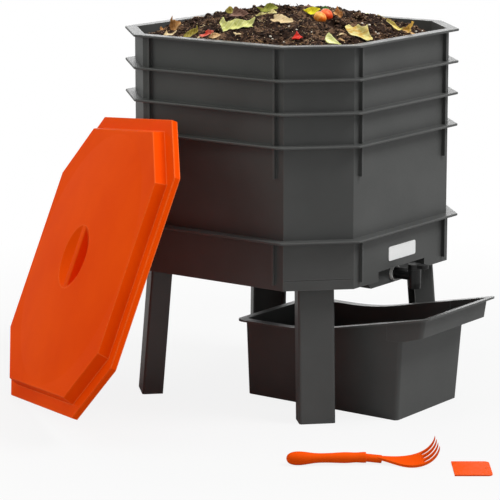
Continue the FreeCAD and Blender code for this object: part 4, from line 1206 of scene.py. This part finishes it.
SCRAPS = (
    Scrap("rust_curled_leaf", (174.6, 31.9), (
        (-2.6, 1), (0.5, 0), (3.9, 2.5), (5.9, 5.2), (9.1, 7.7), (9.5, 11.1), (6.8, 14.2), (2.4, 15.2),
        (-1.6, 16.3), (-3.2, 15.2), (-2.9, 21.5), (-5.7, 16.5), (-6.8, 12.1), (-7.8, 9), (-6.3, 4.6)),
        RUST, tilt=62, cup=5.0, roll=5.0, lift=26.0, rib=55),
    Scrap("tan_crumpled_leaf", (170.0, 36.6), (
        (-10.4, 2.1), (-7.3, 6.2), (-5.2, 9.1), (-3.5, 5.8), (1, 4.8), (5.2, 6.4), (11, 5.4),
        (7.3, 2.3), (3.1, -0.2), (-4.1, -0.6), (-9.1, 0.2)),
        PALE_TAN, tilt=46, cup=2.5, roll=3.0, ripple=4.0, lift=18.0, rib=10),
    Scrap("brown_chip", (162.1, 32.1), (
        (-4.2, 5.7), (-2.1, 8), (1.3, 5.1), (4.4, 1.9), (2.1, -0.6), (-1.1, 0.4)),
        RUST, tilt=52, roll=2.0),
    Scrap("olive_leaf", (187.9, 38.6), (
        (-8.2, 2.1), (-3.1, 7.6), (2.1, 11.3), (7.2, 13.3), (12.1, 14.8), (12.7, 18.1), (14.2, 14.4),
        (14.6, 10.3), (11.3, 7.2), (7.2, 4.1), (3.1, 1), (-3.1, -0.3)),
        OLIVE, tilt=48, roll=4.0, ripple=2.4, rib=30),
    Scrap("straw_stem", (200.9, 29.3), (
        (-1.2, -0.2), (-0.4, 1), (5.6, 5.8), (6.6, 4.8), (0.4, -0.4)), PALE_TAN, tilt=56),
    Scrap("red_peel", (203.2, 38.8), (
        (-6.6, 5.2), (-0.5, 5.8), (4.2, 7.5), (2.6, 9.1), (5.6, 11.1), (10.7, 10.1), (16, 9.5),
        (13, 6.2), (8.9, 3.2), (5.6, 0.3), (1.5, -0.3), (-2.8, 1.3)),
        PEPPER_FLESH, tilt=44, cup=1.5, roll=3.0, thick=1.2),
    Scrap("tan_strip", (199.3, 39.7), (
        (-5.3, 1), (-1, 3.3), (5.5, 2), (3.1, 0), (-1, -0.4)), PALE_TAN, tilt=36, ripple=1.6),
    Scrap("tan_fold", (212.9, 39.7), (
        (-6.6, 1.4), (-3.1, 5.5), (1, 8.8), (6.1, 10), (10.8, 7.7), (9.2, 3.7), (4.1, 0.1), (-2, -0.2)),
        DRY_TAN, tilt=50, roll=4.0, ripple=2.4, rib=35),
    Scrap("large_green_leaf", (235.7, 31.4), (
        (-17.9, 16.8), (-23.7, 11), (-20.4, 3.1), (-16.9, -6.3), (-14.1, -3.1), (-12.1, 0), (-5.1, 2),
        (4.1, 1.4), (14.3, 4.1), (25.7, 3.9), (22.3, 7.2), (26.2, 12.1), (28.8, 18.2), (20.4, 15.3),
        (12.3, 14.3), (7.2, 15.9), (0, 17), (-7.2, 14.3), (-14.1, 11)),
        GREEN, tilt=46, cup=4.0, roll=4.5, ripple=2.6, lift=20.0, rib=8),
    Scrap("pale_sliver", (237.9, 36.6), (
        (-6.9, 5.7), (-3, 5.5), (2.2, 2.4), (4.9, -1), (2, -1), (-3, 1.6)),
        PALE_TAN, tilt=44, roll=1.5),
    Scrap("ochre_leaf", (230.4, 15.3), (
        (-8.5, 5), (-5.4, 9.4), (0.5, 13.6), (4.3, 9.4), (3.9, 5), (2.6, 0.8), (-0.5, -0.2),
        (-3.7, 2.9)), OLIVE, tilt=56, cup=2.0, roll=2.0, rib=60),
    Scrap("mauve_leaf", (239.3, 18.0), (
        (-9.6, 8.9), (-8.7, 13.3), (-5.6, 16), (-1, 12.7), (4.2, 11.2), (9.4, 9.6), (14.8, 4.4),
        (13.5, 0), (7.3, -1), (2.1, 1), (-5.2, 0), (-15.8, 0), (-12.5, 3.3)),
        BROWN, tilt=52, roll=4.0, ripple=3.0, rib=-20),
    Scrap("lime_leaf_upper", (267.1, 13.6), (
        (-16.2, 9.4), (-9.4, 8.3), (-5.2, 7.9), (-0.6, 13.6), (5.2, 14.6), (11.5, 11.1), (16.9, 8.8),
        (14.6, 6.3), (9.4, 4.2), (4.4, 2.5), (0, 0), (-6.3, 1), (-11.5, 6)),
        LIME, tilt=52, roll=3.5, ripple=2.6, rib=10),
    Scrap("lime_leaf_lower", (266.4, 16.0), (
        (-16.8, 0.6), (-10.4, 3.9), (-5.2, 4.6), (1, 3.9), (6.2, 7.7), (10.4, 8.9), (14.7, 6.2),
        (15.4, 2.9), (10.4, 0.8), (7.3, 2.3), (3.1, 2.9), (-3.1, -0.2), (-7.3, 1.5), (-12.5, -1)),
        FADED_OLIVE, tilt=46, roll=3.0, ripple=2.4, rib=18),
    Scrap("tan_lobed_leaf", (281.4, 25.0), (
        (-16.6, 6.1), (-10.2, 9.6), (-11.3, 13.7), (-4.1, 14.7), (1, 14.9), (7.2, 11.9), (12.3, 8.8),
        (17, 7.2), (16, 1.3), (10.2, 2.7), (8.2, 2), (1, -0.2), (-1.8, 1), (-2.5, 4.7), (-7.2, 5.1),
        (-11.3, 3.9)), PALE_TAN, tilt=44, cup=1.5, roll=2.5, ripple=1.8, rib=-12),
    Scrap("tomato_wedge", (295.7, 40.7), (
        (-6.5, 1.4), (-3, 6), (0.6, 10.5), (1.6, 14.1), (5, 9.3), (10.3, 5), (6.5, 2.4), (5, -0.2),
        (0, 0.2)), TOMATO_FLESH, tilt=60, cup=-2.0, roll=2.0, lift=20.0, thick=2.0),
    Scrap("yellow_green_leaf", (312.9, 15.9), (
        (-14.3, 7.3), (-9.3, 9.5), (-4.2, 11.6), (0, 13.3), (6.2, 11.2), (11.6, 8.9), (8.5, 5.8),
        (3.3, 4.4), (1.7, 0.6), (-3.1, -0.5), (-6.2, 3.3), (-9.3, 5.8)),
        YELLOW_GREEN, tilt=52, cup=2.0, roll=3.5, rib=12),
    Scrap("green_calyx", (325.7, 11.8), (
        (-6.7, 6.8), (-3.1, 7.2), (0, 8.5), (2.7, 6.8), (5, 3.5), (5.7, -0.1), (2.1, -0.5),
        (-4.2, 2.6)), CALYX, tilt=66, roll=2.0, lift=26.0),
    Scrap("brown_leaf_tip", (309.3, 8.6), (
        (-5.3, 0), (-4.2, 3.2), (-1.6, 7), (2.1, 4.4), (5.3, 2.5), (3.2, -0.4)),
        BROWN, tilt=62, roll=2.0, lift=24.0),
    Scrap("tan_curl", (338.6, 18.7), (
        (-8.3, 7.3), (-5.2, 10.6), (-2.7, 16.6), (-1.5, 18.3), (0.2, 11.6), (5.2, 8.5), (6.4, 4.8),
        (4.4, 2.1), (3.1, -2.1), (0.6, 0), (-1, 4.4), (-5.2, 3.7)),
        RUST, tilt=58, roll=4.0, ripple=3.0, lift=22.0, rib=-50),
    Scrap("pale_rind", (334.3, 45.7), (
        (-13.3, 7.4), (-12.1, 12.1), (-8, 17.8), (-4, 14.1), (1, 9.1), (6, 4), (11.3, 0.8), (2, -0.2),
        (-5, -0.2), (-10.1, 2)), RIND, tilt=52, cup=2.0, roll=3.0, ripple=0.6, thick=1.4, rib=-38),
    Scrap("pale_chip", (342.1, 36.7), (
        (-5.1, 2.2), (1, 4.1), (6.3, 2.4), (4.1, 0.8), (-1, 0.2), (-4.1, -0.8)), PALE_TAN, tilt=36),
    Scrap("straw_chip", (342.1, 43.0), (
        (-5.4, 5.6), (1, 4), (4.4, 0), (-1, -0.2)), DRY_TAN, tilt=40),
    Scrap("yellow_shell_leaf", (365.7, 42.1), (
        (-29.6, 20.3), (-27, 23.9), (-22.7, 25.5), (-19.3, 20.7), (-13.2, 21.7), (-10.1, 24.5),
        (-8.1, 22.3), (-5.1, 20.3), (0, 20.7), (2.6, 24.1), (4.1, 17.2), (6.1, 11.1), (10.3, 7.1),
        (10.3, 2.8), (7.1, 0.3), (2, -0.2), (-6.1, 2.8), (-15.2, 5.1), (-21.3, 7.1), (-26.4, 14.2)),
        YELLOW, tilt=50, cup=4.0, roll=5.0, lift=24.0, rib=-28),
    Scrap("gold_ribbon", (401.4, 31.9), (
        (-21.6, 13.9), (-21, 18.5), (-17.4, 17.2), (-13.3, 14.3), (-9.1, 12), (-6, 7.9), (-1.9, 4.8),
        (4.2, 4.8), (0, 0.4), (-6.2, 0), (-10.6, 2.7), (-13.7, 7.9), (-17.6, 11.8)),
        PALE_GOLD, tilt=52, roll=5.0, ripple=1.6, lift=24.0, rib=-38),
    Scrap("gold_curled_leaf", (407.1, 34.1), (
        (-8.3, 3.9), (-5.2, 7.9), (1, 11.2), (6.2, 15.3), (7.3, 18.9), (10.8, 17.4), (7.5, 11.2),
        (4.4, 6), (6.4, 2.4), (0.2, -0.4), (-4.1, 2.3)), GOLD, tilt=56, roll=4.0, lift=26.0, rib=40),
    Scrap("gold_chip", (409.3, 35.4), (
        (-10.4, 1.5), (-5.2, 2.7), (3.1, 5.8), (8.5, 3.7), (9.5, 1.5), (2.1, -0.1), (-5.2, 0.4)),
        DRY_TAN),
)


# Leaves on the far side, which the photograph hides: their model, plan place and turn
FAR_PLACES = (
    ("tan_lobed_leaf", (95.0, 75.0), 150.0),
    ("lime_leaf_upper", (42.0, 150.0), 205.0),
    ("yellow_shell_leaf", (142.0, 22.0), 115.0),
    ("mauve_leaf", (76.0, 126.0), 240.0),
    ("olive_leaf", (146.0, 84.0), 60.0),
    ("tan_crumpled_leaf", (108.0, 124.0), 170.0),
    ("pale_rind", (164.0, -22.0), 130.0),
    ("red_peel", (52.0, 116.0), 190.0),
    ("ochre_leaf", (150.0, -70.0), 100.0),
    ("rust_curled_leaf", (-30.0, 164.0), 230.0),
)
FAR_TILT = 12.0
FAR_LIFT = 3.5
FAR_SQUASH = 0.45           # makes up for the stretch that an outline gets when it lies this flat


def far_scraps() -> list[Scrap]:
    """Lay copies of some leaves nearly flat on the far side.

    Returns:
        The copies.
    """
    models = {scrap.name: scrap for scrap in SCRAPS}
    return [
        replace(models[name], name=f"{name}_far", plan=plan, turn=turn, tilt=FAR_TILT, lift=FAR_LIFT,
                outline=tuple((x, FAR_SQUASH * y) for x, y in models[name].outline))
        for name, plan, turn in FAR_PLACES
    ]


@dataclass(frozen=True)
class Nuggets:
    """Clods or bits of eggshell that lie in certain places, each a pixel and a radius."""

    name: str
    finish: Finish
    spots: tuple[tuple[Point, float], ...]
    shape: RoughLump = RoughLump()
    proud: float = 0.6          # share of its radius that a middle stands over the compost
    detail: int = 3
    seed: int = 5

    def build(self, heap: Heap) -> None:
        """Add them as one piece.

        Args:
            heap: What they lie on.
        """
        chance = random.Random(self.seed)
        shell = bmesh.new()
        for pixel, radius in self.spots:
            middle = heap.landing(pixel) + Vector((0, 0, self.proud * radius))
            self.shape.add(shell, middle, radius, self.detail, chance)
        add_to_heap(mesh_from(shell, self.name), self.finish)


NUGGETS = (
    Nuggets("placed_clods", COMPOST, (
        ((196.1, 21.5), 3.4), ((217.9, 31.5), 3.2), ((286.0, 10.5), 6.0), ((292.0, 10.5), 4.6),
        ((336.5, 23.5), 6.4), ((345.0, 28.0), 6.6), ((359.0, 18.6), 6.2), ((249.0, 12.5), 5.0),
        ((388.0, 20.5), 2.4))),
    Nuggets("eggshell_bits", EGGSHELL, (
        ((362.1, 24.4), 1.7), ((369.3, 25.6), 1.6), ((375.4, 33.2), 1.7), ((378.6, 34.6), 1.9),
        ((416.1, 32.2), 1.6), ((422.6, 31.8), 1.5), ((270.4, 37.4), 1.6), ((272.5, 39.6), 1.3),
        ((283.7, 42.4), 1.3), ((311.5, 32.6), 1.1), ((289.0, 26.8), 1.2), ((296.6, 30.2), 1.2))),
)


@dataclass(frozen=True)
class Tomato:
    """A small tomato with the dimple of its stalk."""

    name: str
    pixel: Point                # where it lies in the photograph's frame
    half_sizes: Triple          # half its width, depth and height
    finish: Finish
    shift: Triple = (0.0, 0.0, 0.0)
    lean: float = 28.0          # degrees that it leans down to the right
    nod: float = 40.0           # degrees that its stalk turns from the vertical
    sunk: float = 0.8           # share of its half height that its middle stands over the compost
    dimple: float = 0.22        # depth of the dimple, as a share of its half height
    dimple_spread: float = 0.09
    lobe: float = 0.03          # height of its five lobes, as a share of its half width

    def shell_point(self, point: Vector) -> Vector:
        """Shape a point of a round ball into the fruit.

        Args:
            point: The point of a ball with radius 1.

        Returns:
            The point in metres.
        """
        wide, deep, tall = self.half_sizes
        from_stalk = (point.x ** 2 + point.y ** 2) / self.dimple_spread
        dimple = self.dimple * math.exp(-from_stalk) if point.z > 0 else 0.0
        lobes = 1 + self.lobe * math.cos(5 * math.atan2(point.y, point.x))
        return Vector((point.x * wide * lobes, point.y * deep * lobes, (point.z - dimple) * tall)) * MM

    def build(self, heap: Heap) -> None:
        """Add the fruit.

        Args:
            heap: What it lies on.
        """
        shell = bmesh.new()
        bmesh.ops.create_uvsphere(shell, u_segments=40, v_segments=24, radius=1.0)
        for vertex in shell.verts:
            vertex.co = self.shell_point(vertex.co)
        mesh = mesh_from(shell, self.name)
        mesh.shade_smooth()
        right, up, forward = heap.studio.directions()
        middle = heap.landing(self.pixel) + Vector(self.shift)
        middle.z += self.half_sizes[2] * self.sunk
        frame = (Matrix.Translation(middle * MM) @ Matrix((right, forward, up)).transposed().to_4x4()
                 @ Matrix.Rotation(math.radians(self.lean), 4, "Y")
                 @ Matrix.Rotation(math.radians(self.nod), 4, "X"))
        add_to_heap(mesh, self.finish, frame)


TOMATOES = (
    Tomato("tomato_orange", (320.1, 21.5), (9.6, 8.0, 7.6), TOMATO_ORANGE),
    Tomato("tomato_red", (327.2, 20.5), (9.8, 9.0, 8.8), TOMATO_RED, (6.0, 6.0, 0.0)),
)


def main() -> None:
    """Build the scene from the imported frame."""
    logging.basicConfig(level=logging.INFO, format="%(name)s: %(message)s")
    noise.seed_set(NOISE_SEED)
    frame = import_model()
    studio = Studio()
    studio.build()
    for pieces in WORMERY:
        pieces.dress(frame["nodes"])
    heap = Heap(studio)
    for loose in (*SCRAPS, *far_scraps(), *TWIGS, *NUGGETS, *TOMATOES):
        loose.build(heap)
    heap.build()
    LooseSoil(heap).build()


if __name__ == "__main__":
    main()
